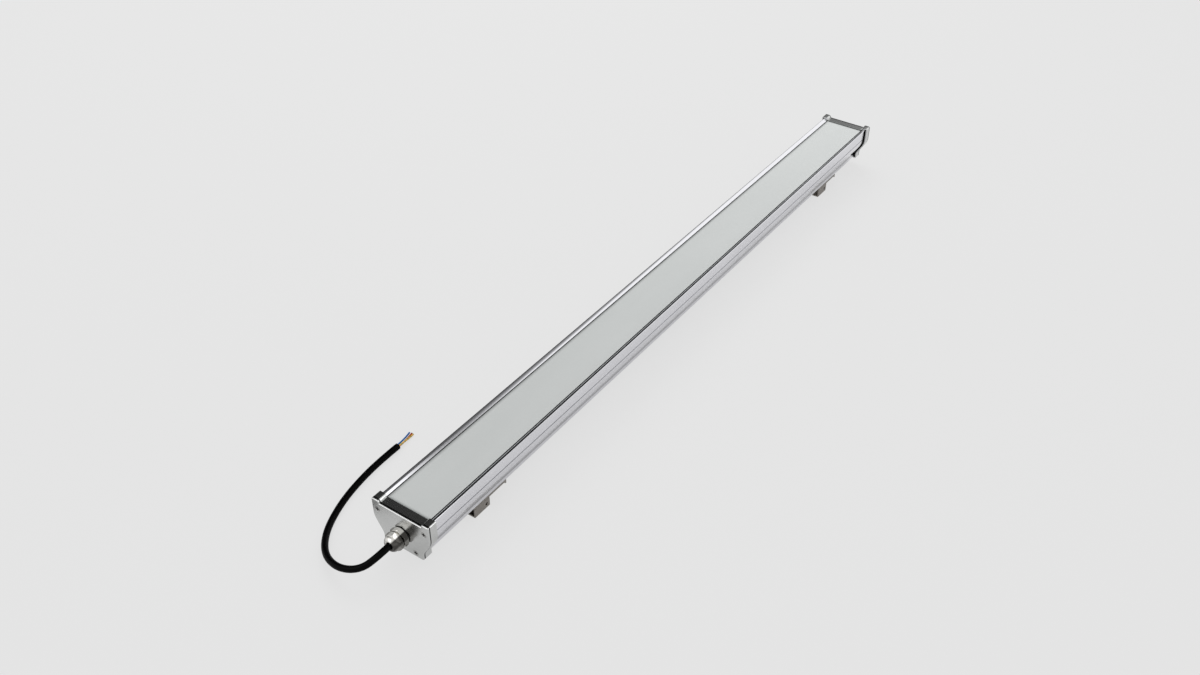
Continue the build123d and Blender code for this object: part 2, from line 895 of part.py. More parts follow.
def earth_screw():
    """Earth screw and its ring tag under the shelf, as two solids."""
    x = near_face + earth_screw_x
    under_ring = shelf_underside - earth_ring_thickness
    ring = rod(earth_ring_radius, (x, -earth_screw_y, shelf_underside), (0, 0, -1), earth_ring_thickness)
    ring += rod(earth_barrel_radius, (earth_barrel_x() + 0.5, -earth_screw_y, earth_barrel_z()), (-1, 0, 0),
                earth_barrel_length + 0.5)
    ring -= rod(lead_radius + fit_clearance, (earth_barrel_x(), -earth_screw_y, earth_barrel_z()), (-1, 0, 0),
                earth_barrel_length + 1)
    ring -= rod(board_screw_shank / 2 + fit_clearance, (x, -earth_screw_y, shelf_underside + 1), (0, 0, -1),
                earth_ring_thickness + 2)
    shank = rod(board_screw_shank / 2, (x, -earth_screw_y, under_ring), (0, 0, 1), driver_screw_length - 1)
    head = rod(earth_head_radius, (x, -earth_screw_y, under_ring), (0, 0, -1), earth_head_height)
    return group([ring, shank + head])


def core_places():
    """Places of the cores in the jacket: blue, brown and earth, as (y, z)."""
    turns = [math.radians(angle) for angle in (30, 270, 150)]
    return [(core_ring * math.cos(turn), core_ring * math.sin(turn)) for turn in turns]


def inner_supply_leads():
    """The cable's three cores from the gland to the terminal block."""
    jacket_end = near_face + jacket_inside
    entry = near_face + block_start
    leads = []
    for (y, z), pole in zip(core_places(), block_poles()):
        route = [
            (jacket_end, y, gland_axis_z + z),
            (jacket_end + lead_straight, y, gland_axis_z + z),
            (entry - lead_straight, pole, block_entry_z()),
            (entry + block_entry_depth - 1, pole, block_entry_z()),
        ]
        leads.append(tube_along(route, core_diameter / 2, 0.4)[0])
    return group(leads)


def earth_lead():
    """Lead from the earth pole to the ring tag's barrel."""
    stop = block_x()[1]
    mouth = earth_barrel_x() - earth_barrel_length
    route = [
        (stop - block_entry_depth + 1, -block_pole_pitch, block_entry_z()),
        (stop + lead_straight, -block_pole_pitch, block_entry_z()),
        (mouth - lead_straight, -earth_screw_y, earth_barrel_z()),
        (mouth + earth_barrel_length - 1, -earth_screw_y, earth_barrel_z()),
    ]
    return tube_along(route, lead_radius, 0.4)[0]


def terminal_leads():
    """Two leads from the terminal block to the driver, and one to the earth tag."""
    stop = block_x()[1]
    inside = stop - block_entry_depth + 1
    driver_face = driver_x()[0] - driver_cap_thickness
    leads = [earth_lead()]
    for pole, y in ((block_pole_pitch, driver_lead_spacing / 2), (0.0, -driver_lead_spacing / 2)):
        z = driver_z()[0] + driver_height / 3
        route = [
            (inside, pole, block_entry_z()),
            (stop + lead_straight, pole, block_entry_z()),
            (driver_face - lead_straight, y, z),
            (driver_face, y, z),
        ]
        leads.append(tube_along(route, lead_radius, 0.4)[0])
    return group(leads)


def feed_grommet():
    """Rubber grommet in the shelf's feed hole."""
    outer = feed_hole_radius
    lip = outer + grommet_lip
    x = feed_x()
    plug = rod(outer - fit_clearance, (x, feed_hole_y, shelf_underside), (0, 0, 1), shelf_thickness)
    plug += rod(lip, (x, feed_hole_y, shelf_underside), (0, 0, -1), grommet_lip)
    plug += rod(lip, (x, feed_hole_y, shelf_top), (0, 0, 1), grommet_lip)
    bore = rod(outer - grommet_wall, (x, feed_hole_y, shelf_underside - 2), (0, 0, 1), shelf_thickness + 4)
    return plug - bore


def led_feed_leads():
    """Two leads from the driver up through the grommet to the second board."""
    stop = driver_x()[1] + driver_cap_thickness
    z = driver_z()[0] + driver_height / 3
    pad_z = shelf_top + board_thickness + lead_radius
    leads = []
    hole_x = feed_x()
    bend_run = (hole_x - stop) / 4
    for side in (-1, 1):
        y = feed_hole_y + side * feed_lead_spacing / 2
        route = [
            (stop, side * driver_lead_spacing / 2, z),
            (stop + bend_run, side * driver_lead_spacing / 2, z),
            (hole_x - bend_run, y, z),
            (hole_x, y, (z + shelf_underside) / 2),
            (hole_x, y, shelf_top + feed_lead_rise),
            (hole_x + feed_lead_rise, y, pad_z),
            (hole_x + 2 * feed_lead_rise, y, pad_z),
        ]
        leads.append(tube_along(route, lead_radius, 0.4)[0])
    return group(leads)


# ---------------------------------------------------------------------- gland

def turned(profile):
    """Piece turned about the gland's axis from (distance out, radius) points.

    Distance out is counted from the plate's face towards the cable.
    """
    points = [(near_face - out, radius + gland_axis_z) for out, radius in profile]
    face = Plane.XZ * polygon(points)
    return revolve(face, Axis((0, 0, gland_axis_z), (1, 0, 0)))


def hex_prism(across_flats, out_from, length):
    """Hexagonal prism on the gland's axis, with corners up and down."""
    plane = Plane(origin=(near_face - out_from, 0, gland_axis_z), x_dir=(0, 1, 0), z_dir=(-1, 0, 0))
    return extrude(plane * hexagon(across_flats), length)


def chamfered_hex(across_flats, out_from, length):
    """Hexagonal prism whose corners are turned off at both faces."""
    corner = across_flats / math.sqrt(3) + fit_clearance
    face_radius = across_flats / 2 + gland_hex_chamfer / 2
    limit = turned([
        (out_from, 0),
        (out_from, face_radius),
        (out_from + gland_hex_chamfer, corner),
        (out_from + length - gland_hex_chamfer, corner),
        (out_from + length, face_radius),
        (out_from + length, 0),
    ])
    return hex_prism(across_flats, out_from, length) & limit


def gland_body():
    """Gland body: hexagon, thread through the plate and neck for the nut."""
    seal_seat = gland_hex_length + gland_neck_length - gland_seal_length + gland_seal_recess
    body = chamfered_hex(gland_hex, gland_ring_section, gland_hex_length - gland_ring_section)
    body += turned([(-gland_thread_length, 0), (-gland_thread_length, gland_thread_radius),
                    (gland_ring_section, gland_thread_radius), (gland_ring_section, 0)])
    neck_end = gland_hex_length + gland_neck_length
    body += turned([(gland_hex_length, 0), (gland_hex_length, gland_neck_radius),
                    (neck_end, gland_neck_radius), (neck_end, 0)])
    bore = cable_diameter / 2 + fit_clearance
    body -= turned([(-gland_thread_length - 1, 0), (-gland_thread_length - 1, bore), (neck_end + 1, bore),
                    (neck_end + 1, 0)])
    body -= turned([(seal_seat, 0), (seal_seat, gland_seal_radius + fit_clearance),
                    (neck_end + 1, gland_seal_radius + fit_clearance), (neck_end + 1, 0)])
    return body


def gland_nut():
    """Compression nut: hexagon with a rounded nose and a bright lip."""
    start = gland_hex_length + gland_nut_gap
    shoulder = start + gland_nut_hex_length
    nose = start + gland_nut_length
    hexagonal = chamfered_hex(gland_nut_hex, start, gland_nut_hex_length)
    nose_foot = gland_nut_hex / 2 - gland_hex_chamfer / 2
    round_nose = turned([
        (shoulder - 1, 0),
        (shoulder - 1, nose_foot),
        (shoulder, nose_foot),
        (shoulder + (nose - shoulder) * 0.45, nose_foot - 0.55),
        (shoulder + (nose - shoulder) * 0.75, gland_nut_front_radius + 0.35),
        (nose - 0.5, gland_nut_front_radius - 0.7),
        (nose, gland_nut_lip_radius),
        (nose, 0),
    ])
    nut = hexagonal + round_nose
    inside = gland_neck_radius + fit_clearance
    room_end = gland_hex_length + gland_neck_length + 0.2
    mouth = cable_diameter / 2 + 0.35
    nut -= turned([(start - 1, 0), (start - 1, inside), (room_end, inside), (room_end, 0)])
    nut -= turned([
        (room_end - 1, 0),
        (room_end - 1, gland_seal_radius + 0.3),
        (room_end + 1.6, gland_seal_radius + 0.3),
        (room_end + 3.2, mouth),
        (nose - 1.2, mouth),
        (nose + 0.1, mouth + 1.3),
        (nose + 0.1, 0),
    ])
    return nut


def gland_seal():
    """Rubber sleeve that the nut presses round the cable."""
    seat = gland_hex_length + gland_neck_length - gland_seal_length + gland_seal_recess
    end = seat + gland_seal_length
    bore = cable_diameter / 2 + fit_clearance
    return turned([(seat, bore), (seat, gland_seal_radius), (end, gland_seal_radius), (end, bore)])


def gland_o_ring():
    """Flat-faced ring between the gland's hexagon and the end plate."""
    inner = gland_thread_radius + fit_clearance
    return turned([(0, inner), (0, gland_ring_radius), (gland_ring_section, gland_ring_radius),
                   (gland_ring_section, inner)])


def gland_lock_nut():
    """Lock nut on the gland's thread inside the plate."""
    nut = hex_prism(gland_hex, -plate_thickness - lock_nut_thickness, lock_nut_thickness)
    bore = turned([(-plate_thickness - lock_nut_thickness - 1, 0),
                   (-plate_thickness - lock_nut_thickness - 1, gland_thread_radius + fit_clearance),
                   (-plate_thickness + 1, gland_thread_radius + fit_clearance), (-plate_thickness + 1, 0)])
    return nut - bore


def gland_hole():
    """Hole for the gland's thread in the near end plate."""
    return turned([(1, 0), (1, gland_thread_radius + cap_screw_clearance),
                   (-plate_thickness - 1, gland_thread_radius + cap_screw_clearance),
                   (-plate_thickness - 1, 0)])


# ---------------------------------------------------------------------- cable

def cable_mouth():
    """How far out of the plate the free cable starts, at the seal's face."""
    return gland_hex_length + gland_neck_length + gland_seal_recess


def cable_route():
    """Centreline of the free cable, from the gland down and back on the floor."""
    floor = cable_diameter / 2
    return [
        (near_face - cable_mouth(), 0, gland_axis_z),
        (-630.5, 0, gland_axis_z),
        (-642.3, 3.2, 38.0),
        (-655.3, 10.4, 31.5),
        (-664.6, 24.7, 24.8),
        (-667.0, 46.3, 17.6),
        (-658.6, 72.0, 11.0),
        (-641.0, 93.6, 6.6),
        (-614.6, 111.6, floor),
        (-574.3, 126.5, floor),
        (-531.0, 134.6, floor),
        (-491.0, 137.6, floor),
        (-463.1, 137.6, floor),
    ]


def core_routes():
    """Centrelines of the three bare cores past the jacket's end."""
    end_x, end_y, end_z = cable_route()[-1]
    blue, brown, earth = [(end_x, end_y + y, end_z + z) for y, z in core_places()]
    return {
        "cable_core_blue": [
            blue,
            (end_x + 5.0, blue[1], blue[2]),
            (end_x + 14.5, end_y + 3.2, 3.9),
            (end_x + 23.5, end_y + 5.7, 2.3),
            (end_x + 31.0, end_y + 7.9, 1.5),
        ],
        "cable_core_brown": [
            brown,
            (end_x + 5.5, brown[1], brown[2]),
            (end_x + 15.5, end_y + 1.4, 1.8),
            (end_x + 24.5, end_y + 3.0, 1.3),
            (end_x + 32.0, end_y + 4.5, 1.25),
        ],
        "cable_core_earth": [
            earth,
            (end_x + 5.0, earth[1], earth[2]),
            (end_x + 14.5, end_y - 0.7, 3.9),
            (end_x + 23.5, end_y + 0.4, 2.2),
            (end_x + 31.5, end_y + 1.7, 1.5),
        ],
    }


def cable_entry():
    """Jacketed cable inside the gland, from the seal's face into the lamp."""
    length = cable_mouth() + jacket_inside
    return rod(cable_diameter / 2, (near_face - cable_mouth(), 0, gland_axis_z), (1, 0, 0), length)


# ------------------------------------------------------------------- brackets

def bracket_base(start):
    """Clamp plate with two hanging lugs and a turned-down end."""
    x = near_face + start
    half = base_half_width
    plate = box(x, x + base_length, -half, half, base_underside, foot_underside)
    lip_x = x + base_length
    plate += box(lip_x - end_lip_thickness, lip_x, -half, half, base_underside - end_lip, foot_underside)
    lug_radius = pivot_z - leg_sheet - lug_floor_gap
    near_lug = x + leg_sheet + lug_gap
    far_lug = x + leg_length - leg_sheet - lug_gap - lug_sheet
    for lug_x in (near_lug, far_lug):
        plate += rod(lug_radius, (lug_x, pivot_offset, pivot_z), (1, 0, 0), lug_sheet)
        plate += box(lug_x, lug_x + lug_sheet, pivot_offset - lug_radius, pivot_offset + lug_radius,
                     pivot_z, base_underside)
    plate -= rod(pivot_radius + pivot_clearance, (x, pivot_offset, pivot_z), (1, 0, 0), leg_length)
    for screw_x in clamp_places(start):
        plate -= rod(clamp_screw_radius + cap_screw_clearance, (screw_x, 0, base_underside - 1), (0, 0, 1),
                     base_thickness + 2)
    return plate


def bracket_leg(start):
    """Folded leg: a web with a screw hole, a floor plate, and two lugs on the pivot."""
    x = near_face + start
    reach = base_half_width
    leg = box(x, x + leg_length, -reach, pivot_offset - leg_floor_setback, 0, leg_sheet)
    leg += box(x, x + leg_length, -reach, leg_sheet - reach, 0, leg_height)
    leg = fillet(leg.edges().filter_by(Axis.X).sort_by(lambda e: e.center().Y + e.center().Z)[0], bend_radius)
    for lug_x in (x, x + leg_length - leg_sheet):
        lug = box(lug_x, lug_x + leg_sheet, leg_lug_start, pivot_offset, 0, leg_height)
        front = [e for e in lug.edges().filter_by(Axis.X)
                 if e.center().Y < pivot_offset and e.center().Z > pivot_z]
        leg += fillet(front[:1] if front[0].center().Y < 0 else front[1:], leg_lug_corner)
        leg += rod(leg_height / 2, (lug_x, pivot_offset, pivot_z), (1, 0, 0), leg_sheet)
    leg -= rod(pivot_radius + pivot_clearance, (x - 1, pivot_offset, pivot_z), (1, 0, 0), leg_length + 2)
    hole_x = x + leg_length - web_hole_inset - leg_sheet / 2
    return leg - rod(web_hole_radius, (hole_x, -reach - 1, pivot_z), (0, 1, 0), leg_sheet + 2)


def pivot_bolt(start):
    """Long bolt through both pairs of lugs, with a socket head."""
    x = near_face + start
    head_x = x - pivot_washer_thickness
    length = leg_length + 2 * pivot_washer_thickness + pivot_nut_height + 1
    bolt = rod(pivot_radius, (head_x, pivot_offset, pivot_z), (1, 0, 0), length)
    head = rod(pivot_head_radius, (head_x, pivot_offset, pivot_z), (-1, 0, 0), pivot_head_height)
    crown = head.edges().filter_by(GeomType.CIRCLE).sort_by(Axis.X)[0]
    head = fillet(crown, pivot_head_height / 3)
    plane = Plane(origin=(head_x - pivot_head_height, pivot_offset, pivot_z), z_dir=(1, 0, 0))
    socket = extrude(plane * hexagon(pivot_hex_socket), pivot_head_height / 2)
    return bolt + head - socket


def pivot_washers(start):
    """Washers under the pivot bolt's head and nut."""
    x = near_face + start
    rings = []
    for face_x in (x - pivot_washer_thickness, x + leg_length):
        ring = rod(pivot_washer_radius, (face_x, pivot_offset, pivot_z), (1, 0, 0), pivot_washer_thickness)
        ring -= rod(pivot_radius + fit_clearance, (face_x - 1, pivot_offset, pivot_z), (1, 0, 0),
                    pivot_washer_thickness + 2)
        rings.append(ring)
    return group(rings)


def pivot_nut(start):
    """Lock nut on the pivot bolt."""
    nut_x = near_face + start + leg_length + pivot_washer_thickness
    plane = Plane(origin=(nut_x, pivot_offset, pivot_z), x_dir=(0, 1, 0), z_dir=(1, 0, 0))
    nut = extrude(plane * hexagon(pivot_nut_hex), pivot_nut_height)
    return nut - rod(pivot_radius + fit_clearance, (nut_x - 1, pivot_offset, pivot_z), (1, 0, 0),
                     pivot_nut_height + 2)


def clamp_places(start):
    """The two clamp screws of one bracket along the lamp."""
    first = near_face + start + first_clamp
    return (first, first + clamp_screw_pitch)


def clamp_screws(start):
    """Screws through the clamp plate into the slide nuts."""
    screws = []
    top = foot_underside + slot_lip + slide_nut_gap + slide_nut_thickness
    for x in clamp_places(start):
        shank = rod(clamp_screw_radius, (x, 0, base_underside), (0, 0, 1), top - base_underside)
        head = rod(clamp_screw_head, (x, 0, base_underside), (0, 0, -1), clamp_screw_head_height)
        crown = head.edges().filter_by(GeomType.CIRCLE).sort_by(Axis.Z)[0]
        head = fillet(crown, clamp_screw_head_height / 3)
        plane = Plane(origin=(x, 0, base_underside - clamp_screw_head_height), z_dir=(0, 0, 1))
        socket = extrude(plane * hexagon(clamp_hex_socket), clamp_screw_head_height / 2)
        screws.append(shank + head - socket)
    return group(screws)


def slide_nuts(start):
    """T-shaped nuts in the foot rail's slot, one for each clamp screw."""
    nuts = []
    low = foot_underside + slot_lip + slide_nut_gap
    half = slot_inner_half - slide_nut_gap
    for x in clamp_places(start):
        reach = slide_nut_length / 2
        nut = box(x - reach, x + reach, -half, half, low, low + slide_nut_thickness)
        nut += box(x - reach, x + reach, -slide_neck_half, slide_neck_half,
                   foot_underside + slide_nut_gap, low)
        nut -= rod(clamp_screw_radius + fit_clearance, (x, 0, foot_underside - 1), (0, 0, 1),
                   slot_lip + slot_depth + 2)
        nuts.append(nut)
    return group(nuts)


# --------------------------------------------------------------------- export

def near_cap_pieces():
    """Pieces that both end caps share, built at the near end."""
    return {
        "end_plate": end_plate(),
        "plate_gasket": plate_seal(),
        "end_collar": end_collar(),
        "collar_gasket": collar_seal(),
        "end_screws": end_screws(),
    }


def cable_pieces():
    """Free cable and bare cores, with their radii and lengths printed."""
    pieces = {}
    routes = {"supply_cable": (cable_route(), cable_diameter / 2)}
    for name, route in core_routes().items():
        routes[name] = (route, core_diameter / 2)
    for name, (route, radius) in routes.items():
        tube, path, radii = tube_along(route, radius)
        expected = path.length * math.pi * radius ** 2
        print(name, "length", round(path.length, 1), "radii", [round(r, 1) for r in radii],
              "volume share", round(tube.volume / expected, 4))
        pieces[name] = tube
    return pieces


def all_pieces():
    """Every node of the lamp by its name."""
    pieces = {
        "housing_extrusion": housing_extrusion(),
        "foot_rail": foot_rail(),
        "frosted_cover": frosted_cover(),
        "cover_gasket_left": cover_gasket(1),
        "cover_gasket_right": cover_gasket(-1),
        "led_chips": led_chips(),
        "board_screws": board_screws(),
        "board_link_leads": board_link_leads(),
        "driver_case": driver_case(),
        "driver_end_caps": driver_end_caps(),
        "driver_circuit_board": driver_circuit_board(),
        "driver_components": driver_components(),
        "driver_screws": driver_screws(),
        "terminal_block": terminal_block(),
        "terminal_screws": terminal_screws(),
        "earth_screw": earth_screw(),
        "inner_supply_leads": inner_supply_leads(),
        "terminal_leads": terminal_leads(),
        "feed_grommet": feed_grommet(),
        "led_feed_leads": led_feed_leads(),
        "gland_body": gland_body(),
        "gland_nut": gland_nut(),
        "gland_seal": gland_seal(),
        "gland_o_ring": gland_o_ring(),
        "gland_lock_nut": gland_lock_nut(),
        "cable_entry": cable_entry(),
    }
    for name, piece in near_cap_pieces().items():
        pieces["far_" + name] = at_far_end(piece)
        pieces["near_" + name] = piece - gland_hole() if name == "end_plate" else piece
    for index in range(board_count):
        pieces[f"led_board_{index + 1}"] = led_board(index)
        pieces[f"lens_strip_{index + 1}"] = lens_strip(index)
    for place, start in zip(("near", "far"), bracket_starts):
        pieces[place + "_bracket_base"] = bracket_base(start)
        pieces[place + "_bracket_leg"] = bracket_leg(start)
        pieces[place + "_pivot_bolt"] = pivot_bolt(start)
        pieces[place + "_pivot_washers"] = pivot_washers(start)
        pieces[place + "_pivot_nut"] = pivot_nut(start)
        pieces[place + "_clamp_screws"] = clamp_screws(start)
        pieces[place + "_slide_nuts"] = slide_nuts(start)
    pieces.update(cable_pieces())
    return pieces


def main():
    """Write one STEP file for each node."""
    os.makedirs("parts", exist_ok=True)
    for name, piece in all_pieces().items():
        export_step(piece, f"parts/{name}.step")


main()
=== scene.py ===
"""Visual model of a linear outdoor wall washer light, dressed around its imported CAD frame.

The lamp lies on a pale floor with its cable gland towards the camera. Lengths are in metres unless a
docstring says millimetres. The frame is the CAD model's: +X runs along the lamp away from the gland, +Y
across it to the left, and +Z up out of the frosted cover.
"""

import json
import logging
import math
from dataclasses import dataclass, field
from enum import Enum
from typing import Callable, Dict, List, Optional, Sequence, Tuple, Union

import bmesh
import bpy
from mathutils import Matrix, Vector


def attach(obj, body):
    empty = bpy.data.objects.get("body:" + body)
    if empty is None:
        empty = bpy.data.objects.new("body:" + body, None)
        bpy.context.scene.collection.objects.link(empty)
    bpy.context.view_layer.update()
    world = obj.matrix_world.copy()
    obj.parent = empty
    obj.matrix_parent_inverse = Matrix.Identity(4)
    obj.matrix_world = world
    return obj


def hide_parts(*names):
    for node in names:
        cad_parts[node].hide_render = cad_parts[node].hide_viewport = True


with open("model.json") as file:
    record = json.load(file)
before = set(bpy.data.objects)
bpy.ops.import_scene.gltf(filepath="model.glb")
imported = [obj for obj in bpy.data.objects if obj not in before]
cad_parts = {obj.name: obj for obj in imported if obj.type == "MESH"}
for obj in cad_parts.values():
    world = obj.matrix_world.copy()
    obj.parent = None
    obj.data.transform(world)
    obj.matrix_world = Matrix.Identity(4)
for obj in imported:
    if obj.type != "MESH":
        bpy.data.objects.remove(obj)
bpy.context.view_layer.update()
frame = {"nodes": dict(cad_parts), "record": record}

LOG = logging.getLogger("wall_washer")
MM = 0.001
MERGE_DISTANCE = 0.000002
WHITE = (1.0, 1.0, 1.0, 1.0)

Colour = Tuple[float, float, float]
LinearColour = Tuple[float, float, float, float]
Point = Tuple[float, float, float]
Value = Union[float, "Signal"]
Station = Tuple[float, Callable[[float], float]]


def linear(red: float, green: float, blue: float) -> LinearColour:
    """Turns a display colour, 0 to 255, into the linear colour that a shader takes.

    Args:
        red, green, blue: the display colour's channels, 0 to 255.

    Returns:
        The linear red, green, blue and an alpha of 1.
    """
    channels = []
    for value in (red, green, blue):
        share = value / 255
        channels.append(share / 12.92 if share <= 0.04045 else ((share + 0.055) / 1.055) ** 2.4)
    return (channels[0], channels[1], channels[2], 1.0)


def dimmed(colour: LinearColour, share: float) -> LinearColour:
    """A linear colour, darkened to a share of its brightness."""
    return (colour[0] * share, colour[1] * share, colour[2] * share, colour[3])


# ------------------------------------------------------------------ shader language


class Signal:
    """A socket of a node tree that can be used in arithmetic."""

    def __init__(self, graph: "Graph", socket: bpy.types.NodeSocket) -> None:
        """Wraps a socket.

        Args:
            graph: the graph that the socket belongs to.
            socket: the output socket.
        """
        self.graph = graph
        self.socket = socket

    def _maths(self, operation: str, first: Value, second: Value) -> "Signal":
        """Adds a Math node.

        Args:
            operation: the Math node's operation.
            first: its first value.
            second: its second value.

        Returns:
            The node's result.
        """
        return self.graph.node("ShaderNodeMath", {"operation": operation}, {0: first, 1: second})

    def __add__(self, other: Value) -> "Signal":
        """Sum."""
        return self._maths("ADD", self, other)

    def __radd__(self, other: Value) -> "Signal":
        """Sum with a number in front."""
        return self._maths("ADD", other, self)

    def __sub__(self, other: Value) -> "Signal":
        """Difference."""
        return self._maths("SUBTRACT", self, other)

    def __rsub__(self, other: Value) -> "Signal":
        """Difference from a number."""
        return self._maths("SUBTRACT", other, self)

    def __mul__(self, other: Value) -> "Signal":
        """Product."""
        return self._maths("MULTIPLY", self, other)

    def __rmul__(self, other: Value) -> "Signal":
        """Product with a number in front."""
        return self._maths("MULTIPLY", other, self)

    def __pow__(self, other: Value) -> "Signal":
        """Power."""
        return self._maths("POWER", self, other)

    def __neg__(self) -> "Signal":
        """The negative."""
        return self._maths("MULTIPLY", self, -1.0)

    def sine(self) -> "Signal":
        """Sine of the signal, in radians."""
        return self._maths("SINE", self, 0.0)

    def absolute(self) -> "Signal":
        """The signal without its sign."""
        return self._maths("ABSOLUTE", self, 0.0)

    def above(self, limit: float, blur: float) -> "Signal":
        """A soft step.

        Args:
            limit: where the step stands.
            blur: how wide the step's ramp is.

        Returns:
            0 below the limit, 1 above it, and a smooth ramp between.
        """
        settings = {"interpolation_type": "SMOOTHSTEP"}
        low, high = limit - blur / 2, limit + blur / 2
        return self.graph.node("ShaderNodeMapRange", settings, {0: self, 1: low, 2: high, 3: 0.0, 4: 1.0})

    def spread(self, low: float, high: float, to_low: float, to_high: float) -> "Signal":
        """Maps a range of the signal to another range.

        Args:
            low, high: the range that comes in.
            to_low, to_high: the range that goes out.

        Returns:
            The mapped signal, held inside the range.
        """
        return self.graph.node("ShaderNodeMapRange", {}, {0: self, 1: low, 2: high, 3: to_low, 4: to_high})


class Graph:
    """Builds one material's or world's node tree."""

    def __init__(self, tree: bpy.types.NodeTree) -> None:
        """Empties the tree.

        Args:
            tree: the node tree to build in.
        """
        self.tree = tree
        tree.nodes.clear()

    def node(
        self,
        kind: str,
        settings: Optional[Dict[str, object]] = None,
        inputs: Optional[Dict[Union[int, str], object]] = None,
        output: Union[int, str] = 0,
    ) -> Signal:
        """Adds a node.

        Args:
            kind: the node's type name.
            settings: its properties, set first. "stops" fills a colour ramp.
            inputs: values or signals for its sockets, by index or name.
            output: the output socket that is wanted.

        Returns:
            That output as a signal.
        """
        node = self.tree.nodes.new(kind)
        for name, value in (settings or {}).items():
            if name == "stops":
                self._fill_ramp(node.color_ramp, value)
            else:
                setattr(node, name, value)
        for name, value in (inputs or {}).items():
            socket = node.inputs[name]
            if isinstance(value, Signal):
                self.tree.links.new(value.socket, socket)
            else:
                socket.default_value = value
        return Signal(self, node.outputs[output])

    @staticmethod
    def _fill_ramp(ramp: bpy.types.ColorRamp, stops: Sequence[Tuple[float, Sequence[float]]]) -> None:
        """Sets a colour ramp's stops.

        Args:
            ramp: the ramp.
            stops: places from 0 to 1 with their colours.
        """
        while len(ramp.elements) < len(stops):
            ramp.elements.new(0.5)
        for element, (place, colour) in zip(ramp.elements, stops):
            element.position = place
            element.color = colour

    def place(self) -> Signal:
        """The point's place on the object, in metres."""
        return self.node("ShaderNodeTexCoord", output="Object")

    def along(self, axis: int) -> Signal:
        """One coordinate of the point's place.

        Args:
            axis: 0, 1 or 2 for X, Y or Z.

        Returns:
            The coordinate.
        """
        return self.node("ShaderNodeSeparateXYZ", {}, {0: self.place()}, output=axis)

    def stretched(self, scale: Point) -> Signal:
        """The point's place, scaled by a Mapping node.

        Args:
            scale: how many pattern units there are in a metre, on each axis.

        Returns:
            The scaled vector.
        """
        return self.node("ShaderNodeMapping", {}, {"Vector": self.place(), "Scale": scale})

    def noise(self, scale: Point, detail: float = 3.0, rough: float = 0.55) -> Signal:
        """Fractal noise on the object.

        Args:
            scale: pattern units in a metre on each axis.
            detail: octaves.
            rough: how strong the finer octaves are.

        Returns:
            The noise, about 0.5.
        """
        links = {"Vector": self.stretched(scale), "Scale": 1.0, "Detail": detail, "Roughness": rough}
        return self.node("ShaderNodeTexNoise", {}, links)

    def blend(self, amount: Value, first: object, second: object) -> Signal:
        """Mixes two colours.

        Args:
            amount: how much of the second.
            first: a colour or a signal.
            second: a colour or a signal.

        Returns:
            The mixed colour.
        """
        settings = {"data_type": "RGBA", "blend_type": "MIX"}
        return self.node("ShaderNodeMix", settings, {0: amount, 6: first, 7: second}, output=2)

    def bump(self, height: Signal, distance: float) -> Signal:
        """Turns a height into a normal.

        Args:
            height: the height signal.
            distance: how far 1 stands out, in metres.

        Returns:
            The bent normal.
        """
        return self.node("ShaderNodeBump", {}, {"Height": height, "Distance": distance, "Strength": 1.0})

    def surface(self, **sockets: object) -> Signal:
        """Adds the Principled shader.

        Args:
            sockets: its sockets' values or signals, with spaces in their names as underscores.

        Returns:
            The shader.
        """
        named = {name.replace("_", " "): value for name, value in sockets.items()}
        return self.node("ShaderNodeBsdfPrincipled", {}, named)

    def finish(self, shader: Signal, kind: str = "ShaderNodeOutputMaterial") -> None:
        """Links a shader to the output.

        Args:
            shader: the shader to show.
            kind: the output node's type.
        """
        node = self.tree.nodes.new(kind)
        self.tree.links.new(shader.socket, node.inputs["Surface"])


# ------------------------------------------------------------------------ finishes


class Grain(Enum):
    """Which way a metal's fine scratches run, as pattern units in a metre on X, Y and Z."""

    ALONG_LAMP = (0.4, 900.0, 900.0)
    EVEN = (900.0, 900.0, 900.0)


class Finish:
    """Base of all finishes: makes its material once and keeps it."""

    _made: Dict[str, bpy.types.Material] = {}

    def material(self) -> bpy.types.Material:
        """Makes the finish's material on first use.

        Returns:
            The material, the same one each time.
        """
        name = self.title
        if name not in Finish._made:
            made = bpy.data.materials.new(name)
            made.use_nodes = True
            graph = Graph(made.node_tree)
            graph.finish(self.shade(graph))
            Finish._made[name] = made
        return Finish._made[name]

    def shade(self, graph: Graph) -> Signal:
        """Builds the finish's shader in a graph."""
        raise NotImplementedError


